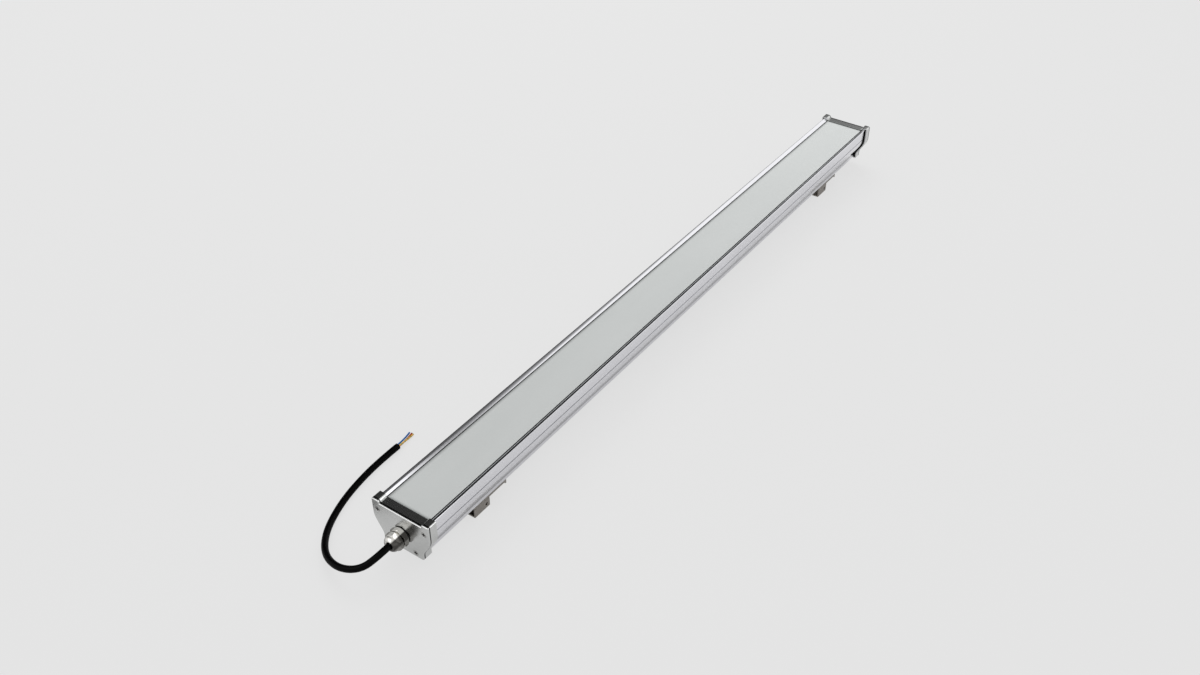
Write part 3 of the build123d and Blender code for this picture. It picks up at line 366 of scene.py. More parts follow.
@dataclass(frozen=True)
class SatinMetal(Finish):
    """Anodised, plated or sprayed metal with fine grain, handling marks and slight clouding.

    Attributes:
        title: the material's name.
        tint: the metal's display colour.
        shine: mean roughness.
        grain: which way its scratches run.
        scratch: how deep the grain stands, in metres.
        clouding: how far roughness wanders.
        mottle: how much darker its darkest marks are.
    """

    title: str
    tint: Colour
    shine: float = 0.3
    grain: Grain = Grain.EVEN
    scratch: float = 0.000004
    clouding: float = 0.06
    mottle: float = 0.14

    def shade(self, graph: Graph) -> Signal:
        """Builds the shader: grain in the bump, clouds in tint and roughness.

        Args:
            graph: the material's graph.

        Returns:
            The shader.
        """
        grain = graph.noise(self.grain.value, 4.0, 0.6)
        clouds = graph.noise((14.0, 22.0, 22.0), 3.0)
        specks = graph.noise((260.0, 260.0, 260.0), 2.0)
        base = linear(*self.tint)
        darker = dimmed(base, 1.0 - self.mottle)
        tint = graph.blend(clouds.spread(0.3, 0.7, 0.0, 1.0), base, darker)
        tint = graph.blend(grain.spread(0.35, 0.65, 0.0, 0.35), tint, darker)
        tint = self.tone(graph, tint)
        roughness = self.shine + self.clouding * (clouds - 0.5)
        roughness = roughness + 0.06 * (grain - 0.5) + 0.04 * (specks - 0.5)
        normal = graph.bump(grain, self.scratch)
        return graph.surface(Base_Color=tint, Metallic=1.0, Roughness=roughness, Normal=normal)

    def tone(self, graph: Graph, tint: Signal) -> Signal:
        """The tint as it is; a finish with painted shade changes it."""
        return tint


@dataclass(frozen=True)
class DrawnAluminium(SatinMetal):
    """Anodised extrusion with a painted shade line along the cove above its foot and painted shade in its
    side groove.

    Attributes:
        cove_low, cove_high: heights that the painted shade line runs between.
        groove_low, groove_high: heights of the side groove.
        line_shade_colour: display colour of the painted shade along the cove and in the groove.
        cove_shade_share, crevice_shade_share: how far each of them covers the metal.
    """

    cove_low: float = 0.0245
    cove_high: float = 0.0285
    groove_low: float = 0.0572
    groove_high: float = 0.0590
    line_shade_colour: Colour = (40, 40, 42)
    cove_shade_share: float = 0.6
    crevice_shade_share: float = 0.3

    def tone(self, graph: Graph, tint: Signal) -> Signal:
        """Paints shade into the tint along the cove and in the groove.

        Args:
            graph: the material's graph.
            tint: the tint so far.

        Returns:
            The changed tint.
        """
        height = graph.along(2)
        # painted shade: a dark line along the cove, and darkening in the side groove
        cove_shade = height.above(self.cove_low, 0.004) - height.above(self.cove_high, 0.005)
        crevice_shade = height.above(self.groove_low, 0.0006) - height.above(self.groove_high, 0.0006)
        return graph.blend(cove_shade * self.cove_shade_share + crevice_shade * self.crevice_shade_share, tint, linear(*self.line_shade_colour))


@dataclass(frozen=True)
class CapMetal(SatinMetal):
    """Satin cap metal with painted shade beside the seam between plate and collar.

    Attributes:
        seam: distance of the seam from the lamp's middle.
        reach: half the width of the painted shade strip.
        crevice_shade: display colour of the painted shade.
        crevice_shade_share: how far it covers the metal.
    """

    seam: float = 0.5971
    reach: float = 0.0009
    crevice_shade: Colour = (30, 30, 30)
    crevice_shade_share: float = 0.8

    def tone(self, graph: Graph, tint: Signal) -> Signal:
        """Paints shade into the tint beside the seam.

        Args:
            graph: the material's graph.
            tint: the tint so far.

        Returns:
            The changed tint.
        """
        # painted shade: a dark strip either side of the seam between plate and collar
        away = (graph.along(0).absolute() - self.seam).absolute()
        return graph.blend((1.0 - away.above(self.reach, 0.0006)) * self.crevice_shade_share, tint, linear(*self.crevice_shade))


@dataclass(frozen=True)
class GlandNickel(SatinMetal):
    """Bright nickel plating with painted shade and a painted dark reflection on the gland's lower right side
    and on its far left.

    Attributes:
        axis_height: height of the gland's axis.
        dark: display colour of the painted shade and dark reflection.
        dark_share: how far the painted shade covers the plating.
    """

    axis_height: float = 0.041
    dark: Colour = (44, 42, 39)
    dark_share: float = 0.94

    def tone(self, graph: Graph, tint: Signal) -> Signal:
        """Paints shade into the tint where the gland turns down to the right or away to the left.

        Args:
            graph: the material's graph.
            tint: the tint so far.

        Returns:
            The changed tint.
        """
        # painted shade and painted dark reflection on the lower right side and the far left
        rise = graph.along(2) - self.axis_height
        right = -graph.along(1)
        side = right * 0.9 - rise * 0.6
        low_right = side.above(-0.0012, 0.0024) - side.above(0.0095, 0.0030) * 0.35
        far_left = (-right * 0.9 - rise * 0.25).above(0.0045, 0.0030) * 0.7
        painted_shade = (low_right + far_left).spread(0.0, 1.0, 0.0, self.dark_share)
        return graph.blend(painted_shade, tint, linear(*self.dark))


@dataclass(frozen=True)
class FrostedGlass(Finish):
    """Acid-frosted glass plate: pale, matt, with a fine grain, and painted light making it paler towards the
    lamp's far end.

    Attributes:
        title: the material's name.
        tint: display colour of its face at the near end.
        far_painted_light: display colour of its face at the far end, painted paler to stand for the light
            there.
        edge_tint: display colour beside the left seal and the caps, where the light dies away.
        half_length, half_width: the plate's half sizes.
        side_reach, end_reach: how far the fade reaches in from the left seal and from the caps.
    """

    title: str
    tint: Colour
    far_painted_light: Colour
    edge_tint: Colour
    half_length: float
    half_width: float
    side_reach: float = 0.0055
    end_reach: float = 0.005

    def shade(self, graph: Graph) -> Signal:
        """Builds the shader: painted shade fading in beside seal and caps, painted light towards the far end,
        and a frosted grain.

        Args:
            graph: the material's graph.

        Returns:
            The shader.
        """
        across = graph.along(1)
        along = graph.along(0)
        # painted shade fading in beside the left seal and the caps
        side_fade = across.spread(self.half_width - self.side_reach, self.half_width, 0.0, 1.0)
        end_fade = along.absolute().spread(self.half_length - self.end_reach, self.half_length, 0.0, 1.0)
        fades = {0: side_fade ** 2.0, 1: end_fade ** 2.0}
        fade = graph.node("ShaderNodeMath", {"operation": "MAXIMUM"}, fades)
        haze = graph.noise((5.0, 16.0, 16.0), 3.0)
        grain = graph.noise((1700.0, 1700.0, 1700.0), 2.0)
        # painted light: the face is painted paler towards the far end
        distance = along.spread(-self.half_length, self.half_length, 0.0, 1.0) ** 1.7
        tint = graph.blend(distance, linear(*self.tint), linear(*self.far_painted_light))
        tint = graph.blend(haze.spread(0.35, 0.65, 0.0, 0.05), tint, WHITE)
        tint = graph.blend(fade, tint, linear(*self.edge_tint))
        roughness = 0.40 + 0.08 * (grain - 0.5) + 0.05 * (haze - 0.5)
        normal = graph.bump(grain, 0.00001)
        return graph.surface(Base_Color=tint, Roughness=roughness, Normal=normal, IOR=1.5)


@dataclass(frozen=True)
class MattRubber(Finish):
    """Moulded rubber or dull plastic with a fine skin and a trace of dust.

    Attributes:
        title: the material's name.
        tint: display colour.
        dust: display colour of the dust and of rubbed places.
        shine: mean roughness.
        skin: height of the moulded skin, in metres.
        gloss: how strongly it mirrors, 0.5 being usual.
    """

    title: str
    tint: Colour
    dust: Colour
    shine: float = 0.55
    skin: float = 0.00002
    gloss: float = 0.5

    def shade(self, graph: Graph) -> Signal:
        """Builds the shader: dusty patches over an even skin.

        Args:
            graph: the material's graph.

        Returns:
            The shader.
        """
        patches = graph.noise((60.0, 60.0, 60.0), 4.0, 0.6)
        skin = graph.noise((1400.0, 1400.0, 1400.0), 2.0)
        tint = graph.blend(patches.spread(0.45, 0.75, 0.0, 0.6), linear(*self.tint), linear(*self.dust))
        roughness = self.shine + 0.12 * (patches - 0.5)
        normal = graph.bump(skin, self.skin)
        sockets = {"Base_Color": tint, "Roughness": roughness, "Normal": normal}
        return graph.surface(**sockets, Specular_IOR_Level=self.gloss)


@dataclass(frozen=True)
class CoreSheath(Finish):
    """Insulation of a bare core, plain or with a stripe along it.

    Attributes:
        title: the material's name.
        tint: display colour.
        stripe: display colour of the stripe, or None.
    """

    title: str
    tint: Colour
    stripe: Optional[Colour] = None

    def shade(self, graph: Graph) -> Signal:
        """Builds the shader: extruded skin with a wandering stripe.

        Args:
            graph: the material's graph.

        Returns:
            The shader.
        """
        skin = graph.noise((500.0, 900.0, 900.0), 3.0)
        base = linear(*self.tint)
        darker = dimmed(base, 0.75)
        tint = graph.blend(skin.spread(0.35, 0.7, 0.0, 0.6), base, darker)
        if self.stripe:
            slanted = graph.along(0) * 900.0 + graph.along(1) * 500.0
            stripe = slanted.sine().above(0.35, 0.25)
            tint = graph.blend(stripe, tint, linear(*self.stripe))
        roughness = 0.38 + 0.1 * (skin - 0.5)
        return graph.surface(Base_Color=tint, Roughness=roughness, Normal=graph.bump(skin, 0.00001))


@dataclass(frozen=True)
class ClearMoulding(Finish):
    """Clear moulded plastic with slight flow lines.

    Attributes:
        title: the material's name.
        tint: display colour.
    """

    title: str
    tint: Colour

    def shade(self, graph: Graph) -> Signal:
        """Builds the shader: flow lines in tint and roughness.

        Args:
            graph: the material's graph.

        Returns:
            The shader.
        """
        flow = graph.noise((30.0, 300.0, 300.0), 3.0)
        base = linear(*self.tint)
        darker = dimmed(base, 0.9)
        tint = graph.blend(flow.spread(0.35, 0.65, 0.0, 1.0), base, darker)
        roughness = 0.12 + 0.08 * flow
        return graph.surface(Base_Color=tint, Roughness=roughness, Transmission_Weight=0.6, IOR=1.49)


@dataclass(frozen=True)
class PrintedBoard(Finish):
    """Solder mask with copper tracks showing through as slightly raised lines.

    Attributes:
        title: the material's name.
        tint: display colour of the mask.
        track: display colour over the tracks.
    """

    title: str
    tint: Colour
    track: Colour

    def shade(self, graph: Graph) -> Signal:
        """Builds the shader: blocky tracks in colour and bump.

        Args:
            graph: the material's graph.

        Returns:
            The shader.
        """
        cells = graph.node(
            "ShaderNodeTexVoronoi",
            {"distance": "CHEBYCHEV", "feature": "F1"},
            {"Vector": graph.stretched((45.0, 90.0, 1.0)), "Scale": 1.0, "Randomness": 0.6},
            output="Distance",
        )
        track = cells.above(0.32, 0.04) - cells.above(0.40, 0.04)
        mask = graph.noise((700.0, 700.0, 700.0), 2.0)
        tint = graph.blend(track, linear(*self.tint), linear(*self.track))
        normal = graph.bump(track, 0.00003)
        return graph.surface(Base_Color=tint, Roughness=0.35 + 0.1 * (mask - 0.5), Normal=normal)


@dataclass(frozen=True)
class Finishes:
    """Every finish of the lamp: one for each material slot of the record, and two more.

    The two are the copper of the cores' strands and the painted shade inside the end screws' recesses, a dark
    matt finish.
    """

    anodised: DrawnAluminium = DrawnAluminium(
        "anodised_aluminium", (232, 232, 236), shine=0.1, grain=Grain.ALONG_LAMP, scratch=0.0000006,
        clouding=0.03, mottle=0.04,
    )
    cap: CapMetal = CapMetal(
        "cap_metal", (210, 211, 210), shine=0.24, scratch=0.0000008, clouding=0.04, mottle=0.06
    )
    screws: SatinMetal = SatinMetal(
        "steel_screws", (178, 177, 175), shine=0.24, scratch=0.000002, clouding=0.06, mottle=0.08
    )
    gland: GlandNickel = GlandNickel(
        "gland_nickel", (236, 234, 229), shine=0.12, scratch=0.000001, clouding=0.05, mottle=0.10
    )
    bracket: SatinMetal = SatinMetal(
        "bracket_steel", (158, 153, 147), shine=0.36, grain=Grain.ALONG_LAMP, clouding=0.08, mottle=0.12
    )
    driver: SatinMetal = SatinMetal(
        "driver_metal", (196, 198, 200), shine=0.38, grain=Grain.ALONG_LAMP, scratch=0.000005
    )
    brass: SatinMetal = SatinMetal("terminal_brass", (214, 180, 110), shine=0.3)
    copper: SatinMetal = SatinMetal("copper_strands", (190, 110, 70), shine=0.35)
    seal: MattRubber = MattRubber("seal_rubber", (7, 7, 8), (17, 17, 18), shine=0.6, gloss=0.08)
    jacket: MattRubber = MattRubber(
        "cable_jacket", (4, 4, 4), (9, 9, 9), shine=0.34, skin=0.00001, gloss=0.04
    )
    leads: MattRubber = MattRubber("lead_insulation", (40, 40, 44), (70, 70, 72), shine=0.4)
    parts: MattRubber = MattRubber("driver_parts", (28, 28, 34), (60, 60, 66), shine=0.4)
    terminal: MattRubber = MattRubber("terminal_plastic", (222, 221, 212), (196, 192, 180), shine=0.5)
    chips: MattRubber = MattRubber("led_phosphor", (240, 205, 110), (250, 232, 160), shine=0.35)
    lens: ClearMoulding = ClearMoulding("lens_plastic", (225, 230, 232))
    white_board: PrintedBoard = PrintedBoard("white_board", (232, 232, 228), (212, 214, 206))
    green_board: PrintedBoard = PrintedBoard("green_board", (34, 92, 50), (60, 124, 70))
    # painted shade: a dark matt finish stands in for the shade inside the end screws' cross recesses
    recess: MattRubber = MattRubber(
        "screw_recess_shade", (16, 16, 17), (34, 34, 35), shine=0.6, skin=0.00001, gloss=0.2
    )
    blue: CoreSheath = CoreSheath("core_blue", (16, 96, 168))
    brown: CoreSheath = CoreSheath("core_brown", (158, 50, 26))
    earth: CoreSheath = CoreSheath("core_earth", (232, 176, 74), stripe=(150, 150, 62))
    frosted: FrostedGlass = FrostedGlass(
        "frosted_glass", (200, 203, 202), far_painted_light=(218, 221, 220), edge_tint=(128, 131, 130),
        half_length=0.5848, half_width=0.033,
    )


# -------------------------------------------------------------------- mesh making


def stand(name: str, data: bpy.types.ID) -> bpy.types.Object:
    """Adds an object to the scene.

    Args:
        name: the object's name.
        data: its mesh, curve, light or camera.

    Returns:
        The new object.
    """
    piece = bpy.data.objects.new(name, data)
    bpy.context.scene.collection.objects.link(piece)
    return piece


def object_from(name: str, mesh: bmesh.types.BMesh, finish: Finish, crease: float = 32.0) -> bpy.types.Object:
    """Makes an object of a bmesh, smooth but for its sharp edges.

    Args:
        name: the object's name.
        mesh: the bmesh, which is freed.
        finish: what it is dressed in.
        crease: edges that turn by more degrees than this stay sharp.

    Returns:
        The new object, linked to the scene.
    """
    limit = math.radians(crease)
    for edge in mesh.edges:
        turn = edge.calc_face_angle(math.pi) if len(edge.link_faces) == 2 else math.pi
        edge.smooth = turn < limit
    for face in mesh.faces:
        face.smooth = True
    data = bpy.data.meshes.new(name)
    mesh.to_mesh(data)
    mesh.free()
    data.materials.append(finish.material())
    return stand(name, data)


def merged_copy(node: str) -> bmesh.types.BMesh:
    """Copies a CAD node's mesh and joins its loose triangles.

    Args:
        node: the CAD node's name.

    Returns:
        The joined mesh, in the frame of the CAD model.
    """
    mesh = bmesh.new()
    mesh.from_mesh(frame["nodes"][node].data)
    bmesh.ops.remove_doubles(mesh, verts=mesh.verts, dist=MERGE_DISTANCE)
    return mesh


def rings(mesh: bmesh.types.BMesh, stations: Sequence[Station], sides: int, axis_height: float) -> None:
    """Skins a stack of closed rings about a line along X.

    Args:
        mesh: the bmesh to build in.
        stations: for each ring its X and a function from angle to radius.
        sides: points in a ring.
        axis_height: height of the line above the floor.
    """
    loops: List[List[bmesh.types.BMEdge]] = []
    for place, radius_at in stations:
        made = bmesh.ops.create_circle(mesh, segments=sides, radius=1.0)
        for vert in made["verts"]:
            angle = math.atan2(vert.co.y, vert.co.x)
            radius = radius_at(angle)
            vert.co = Vector((place, radius * math.cos(angle), axis_height + radius * math.sin(angle)))
        loops.append(list({edge for vert in made["verts"] for edge in vert.link_edges}))
    for one, two in zip(loops, loops[1:]):
        bmesh.ops.bridge_loops(mesh, edges=one + two)


def round_radius(radius: float) -> Callable[[float], float]:
    """The radius of a round ring, whatever the angle."""
    return lambda angle: radius


def hex_radius(across: float, limit: float) -> Callable[[float], float]:
    """Radius of a hexagon whose corners are turned off.

    Args:
        across: width across its flats.
        limit: largest radius.

    Returns:
        A function from angle to radius.
    """
    def at(angle: float) -> float:
        """Radius at an angle, with corners straight up and down."""
        turned = angle % math.radians(60) - math.radians(30)
        return min(across / 2 / math.cos(math.radians(30) - abs(turned)), limit)
    return at


# ----------------------------------------------------------------------- assemblies


@dataclass
class SmoothCopies:
    """CAD nodes whose shape is right and that only need merged, smooth faces and a finish.

    Attributes:
        body: the CAD body that they ride on.
        nodes: each node with its slot's name and finish.
        recess: painted shade, a dark matt finish on the faces inside the end screws' cross recesses.
        recess_top, recess_end: depths below the screws' faces that the recess faces lie between.
        wall_slope: a recess wall's normal has less than this along X.
        floor_slope: a recess floor's normal has more than this along X.
    """

    body: str
    nodes: Dict[str, Tuple[str, Finish]]
    recess: Finish
    recess_top: float = 0.0001
    recess_end: float = 0.00095
    wall_slope: float = 0.3
    floor_slope: float = 0.95

    def _paint_recess_shade(self, piece: bpy.types.Object) -> None:
        """Paints shade on the faces inside the screws' cross recesses with a dark finish of their own.

        Args:
            piece: the copy of the end screws.
        """
        data = piece.data
        data.materials.append(self.recess.material())
        face = max(abs(vert.co.x) for vert in data.vertices)
        for polygon in data.polygons:
            depth = face - abs(polygon.center.x)
            slope = abs(polygon.normal.x)
            inside = slope < self.wall_slope or slope > self.floor_slope
            if self.recess_top < depth < self.recess_end and inside:
                polygon.material_index = 1

    def build(self) -> None:
        """Replaces each node by a merged, smooth copy."""
        for node, (slot, finish) in self.nodes.items():
            piece = object_from(f"{node}_shown", merged_copy(node), finish)
            if node.endswith("end_screws"):
                self._paint_recess_shade(piece)
            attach(piece, self.body)
            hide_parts(node)
            LOG.info("smooth copy of %s", node)


@dataclass
class Gland:
    """Nickel-plated cable gland: body, compression nut and the flat rubber ring against the end plate.

    Attributes:
        finishes: the lamp's finishes.
        plate: X of the end plate's face.
        height: height of its axis.
        body_hex: width across the body's flats.
        nut_hex: width across the nut's flats.
        bore, seat: radii of the body's bore and of the wider seat of its rubber seal.
        shank: radius of the shank in the plate.
        neck: radius of the neck beside the hexagon.
        thread_root, thread_crest: radii of the neck's thread.
        nut_bore: radius of the nut's bore over the thread.
        nose_bore, nose_seat: radii inside the nut's nose, at its mouth and behind it.
        sides: points round a ring.
        thread_turns: turns of the neck's thread.
    """

    finishes: Finishes
    plate: float = -0.6
    height: float = 0.041
    body_hex: float = 0.024
    nut_hex: float = 0.0226
    bore: float = 0.00445
    seat: float = 0.00705
    shank: float = 0.01
    neck: float = 0.0092
    thread_root: float = 0.0086
    thread_crest: float = 0.009
    nut_bore: float = 0.00905
    nose_bore: float = 0.00475
    nose_seat: float = 0.0073
    sides: int = 144
    thread_turns: int = 7

    def _lathe(self, name: str, node: str, finish: Finish, stations: Sequence[Station]) -> None:
        """Builds one turned piece whose first and last ring are the same.

        Args:
            name: the piece's name.
            node: the CAD node that it replaces.
            finish: its finish.
            stations: distance out from the plate in millimetres and radius function, inside and out.
        """
        mesh = bmesh.new()
        placed = [(self.plate - out * MM, radius) for out, radius in stations]
        rings(mesh, placed + placed[:1], self.sides, self.height)
        bmesh.ops.remove_doubles(mesh, verts=mesh.verts, dist=MERGE_DISTANCE / 2)
        bmesh.ops.recalc_face_normals(mesh, faces=mesh.faces)
        piece = object_from(name, mesh, finish, 24.0)
        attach(piece, "lamp")
        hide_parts(node)
        LOG.info("turned %s", name)

    def _body(self) -> None:
        """Body: shank, turned hexagon and threaded neck."""
        across = self.body_hex
        corner = across / math.sqrt(3)
        flat = across / 2
        inside = round_radius(self.bore)
        seat = round_radius(self.seat)
        shank = round_radius(self.shank)
        root = round_radius(self.thread_root)
        crest = round_radius(self.thread_crest)
        stations = [(-10.0, inside), (-10.0, round_radius(self.shank - 0.0006)), (-9.4, shank), (1.2, shank)]
        stations += [(1.2, hex_radius(across, flat + 0.0003)), (1.5, hex_radius(across, flat + 0.0009))]
        stations += [(2.1, hex_radius(across, corner)), (6.6, hex_radius(across, corner))]
        stations += [(7.4, hex_radius(across, flat + 0.0010)), (7.8, hex_radius(across, flat + 0.0003))]
        stations += [(8.0, hex_radius(across, flat - 0.0002)), (8.0, round_radius(self.neck))]
        for turn in range(self.thread_turns):
            start = 8.15 + turn
            stations += [(start + 0.15, root), (start + 0.5, crest), (start + 0.7, crest)]
        stations += [(15.2, root), (15.2, seat), (5.99, seat), (5.99, inside)]
        self._lathe("gland_body_shown", "gland_body", self.finishes.gland, stations)

    def _nut(self) -> None:
        """Compression nut: turned hexagon, rounded nose and a rolled lip."""
        across = self.nut_hex
        corner = across / math.sqrt(3)
        flat = across / 2
        stations = [(8.9, round_radius(self.nut_bore)), (8.9, hex_radius(across, flat - 0.0004))]
        stations += [(9.05, hex_radius(across, flat + 0.0002)), (9.9, hex_radius(across, corner - 0.0001))]
        stations += [(10.4, hex_radius(across, corner)), (15.0, hex_radius(across, corner))]
        stations += [(15.8, hex_radius(across, corner - 0.0004)), (16.4, hex_radius(across, flat + 0.0006))]
        nose = [(16.9, 0.01105), (17.5, 0.01085), (18.5, 0.0106), (19.4, 0.01022), (20.3, 0.0097)]
        nose += [(21.0, 0.00915), (21.6, 0.0086), (22.0, 0.0082), (22.3, 0.0078), (22.48, 0.0073)]
        nose += [(22.5, 0.0067), (22.42, 0.0061), (22.1, 0.0056), (21.6, 0.0052)]
        nose += [(21.0, self.nose_bore), (18.6, self.nose_bore)]
        nose += [(17.0, self.nose_seat), (15.4, self.nose_seat), (15.4, self.nut_bore)]
        stations += [(out, round_radius(radius)) for out, radius in nose]
        self._lathe("gland_nut_shown", "gland_nut", self.finishes.gland, stations)

    def _ring(self) -> None:
        """Flat ring between the body's hexagon and the plate, slightly bulged."""
        inside, edge, bulge = 0.01005, 0.0114, 0.01156
        profile = [(0.0, inside), (0.0, edge), (0.3, bulge), (0.9, bulge), (1.2, edge), (1.2, inside)]
        stations = [(out, round_radius(radius)) for out, radius in profile]
        self._lathe("gland_ring_shown", "gland_o_ring", self.finishes.seal, stations)

    def build(self) -> None:
        """Builds body, nut and ring."""
        self._body()
        self._nut()
        self._ring()


@dataclass
class SupplyCable:
    """Black supply cable with its three bare cores.

    Attributes:
        finishes: the lamp's finishes.
        diameter: the jacket's diameter.
        core: a core's diameter.
        strands: copper strands in a core, one of them in the middle.
        strand_ring: radius that the outer strands lie on.
        strand_base, strand_tip: a strand's radius at its inner and at its outer end.
        strand_length: length of the modelled strand, two thirds of it inside the core.
        strand_sink: how far the strand's middle lies inside the core's end.
        route: control points of the jacket's line, in millimetres.
        core_routes: control points of each core's line, in millimetres.
    """

    finishes: Finishes
    diameter: float = 0.0088
    core: float = 0.0023
    strands: int = 7
    strand_ring: float = 0.00047
    strand_base: float = 0.00024
    strand_tip: float = 0.0002
    strand_length: float = 0.0012
    strand_sink: float = 0.0002
    route: Tuple[Point, ...] = (
        (-617.0, 0.0, 41.0),
        (-630.5, 0.0, 41.0),
        (-642.3, 3.2, 36.6),
        (-655.3, 10.4, 28.8),
        (-664.6, 24.7, 23.2),
        (-667.0, 46.3, 17.6),
        (-658.6, 72.0, 11.0),
        (-641.0, 93.6, 6.6),
        (-614.6, 111.6, 4.4),
        (-574.3, 126.5, 4.4),
        (-531.0, 134.6, 4.4),
        (-491.0, 137.6, 4.4),
        (-463.1, 137.6, 4.4),
    )
    core_routes: Dict[str, Tuple[Point, ...]] = field(
        default_factory=lambda: {
            "cable_core_blue": (
                (-463.1, 139.1155, 5.275),
                (-458.1, 139.1155, 5.275),
                (-448.6, 140.8, 3.9),
                (-439.6, 143.3, 2.3),
                (-432.1, 145.5, 1.5),
            ),
            "cable_core_brown": (
                (-463.1, 137.6, 2.65),
                (-457.6, 137.6, 2.65),
                (-447.6, 139.0, 1.8),
                (-438.6, 140.6, 1.3),
                (-431.1, 142.1, 1.25),
            ),
            "cable_core_earth": (
                (-463.1, 136.0845, 5.275),
                (-458.1, 136.0845, 5.275),
                (-448.6, 136.9, 3.9),
                (-439.6, 138.0, 2.2),
                (-431.6, 139.3, 1.5),
            ),
        }
    )

    def _line(self, name: str, route: Sequence[Point], diameter: float, finish: Finish) -> bpy.types.Object:
        """Makes a round cord on a smooth line.

        Args:
            name: the object's name.
            route: control points, in millimetres.
            diameter: the cord's diameter, in metres.
            finish: what it is dressed in.

        Returns:
            The curve object.
        """
        data = bpy.data.curves.new(name, "CURVE")
        data.dimensions = "3D"
        data.bevel_depth = diameter / 2
        data.bevel_resolution = 10
        data.use_fill_caps = True
        data.resolution_u = 24
        spline = data.splines.new("NURBS")
        spline.points.add(len(route) - 1)
        for point, place in zip(spline.points, route):
            point.co = (place[0] * MM, place[1] * MM, place[2] * MM, 1.0)
        spline.order_u = 3
        spline.use_endpoint_u = True
        data.materials.append(finish.material())
        return stand(name, data)

    def _strands(self, name: str, route: Sequence[Point]) -> bpy.types.Object:
        """Copper strands that show in a core's cut end.

        Args:
            name: the piece's name.
            route: the core's control points, in millimetres.

        Returns:
            The piece.
        """
        tip = Vector(route[-1]) * MM
        way = (tip - Vector(route[-2]) * MM).normalized()
        turn = way.to_track_quat("Z", "Y").to_matrix().to_4x4()
        mesh = bmesh.new()
        outer = self.strands - 1
        for index in range(self.strands):
            reach = 0.0 if index == outer else self.strand_ring
            angle = index * 2 * math.pi / outer
            side = Vector((reach * math.cos(angle), reach * math.sin(angle), -self.strand_sink))
            placed = Matrix.Translation(tip) @ turn @ Matrix.Translation(side)
            bmesh.ops.create_cone(mesh, cap_ends=True, segments=10, radius1=self.strand_base,
                                  radius2=self.strand_tip, depth=self.strand_length, matrix=placed)
        return object_from(name, mesh, self.finishes.copper)

    def build(self) -> None:
        jacket = self._line("supply_cable_shown", self.route, self.diameter, self.finishes.jacket)
        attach(jacket, "lamp")
        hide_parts("supply_cable")
        start = tuple(value * MM for value in self.route[0])
        dress = {
            "cable_core_blue": ("core_blue", self.finishes.blue),
            "cable_core_brown": ("core_brown", self.finishes.brown),
            "cable_core_earth": ("core_earth", self.finishes.earth),
        }
        for node, route in self.core_routes.items():
            slot, finish = dress[node]
            core = self._line(f"{node}_shown", route, self.core, finish)
            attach(core, "lamp")
            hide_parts(node)
            strands = self._strands(f"{node}_strands", route)
            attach(strands, "lamp")
            start = tuple(value * MM for value in route[0])
            LOG.info("core %s", node)


# --------------------------------------------------------------------------- studio


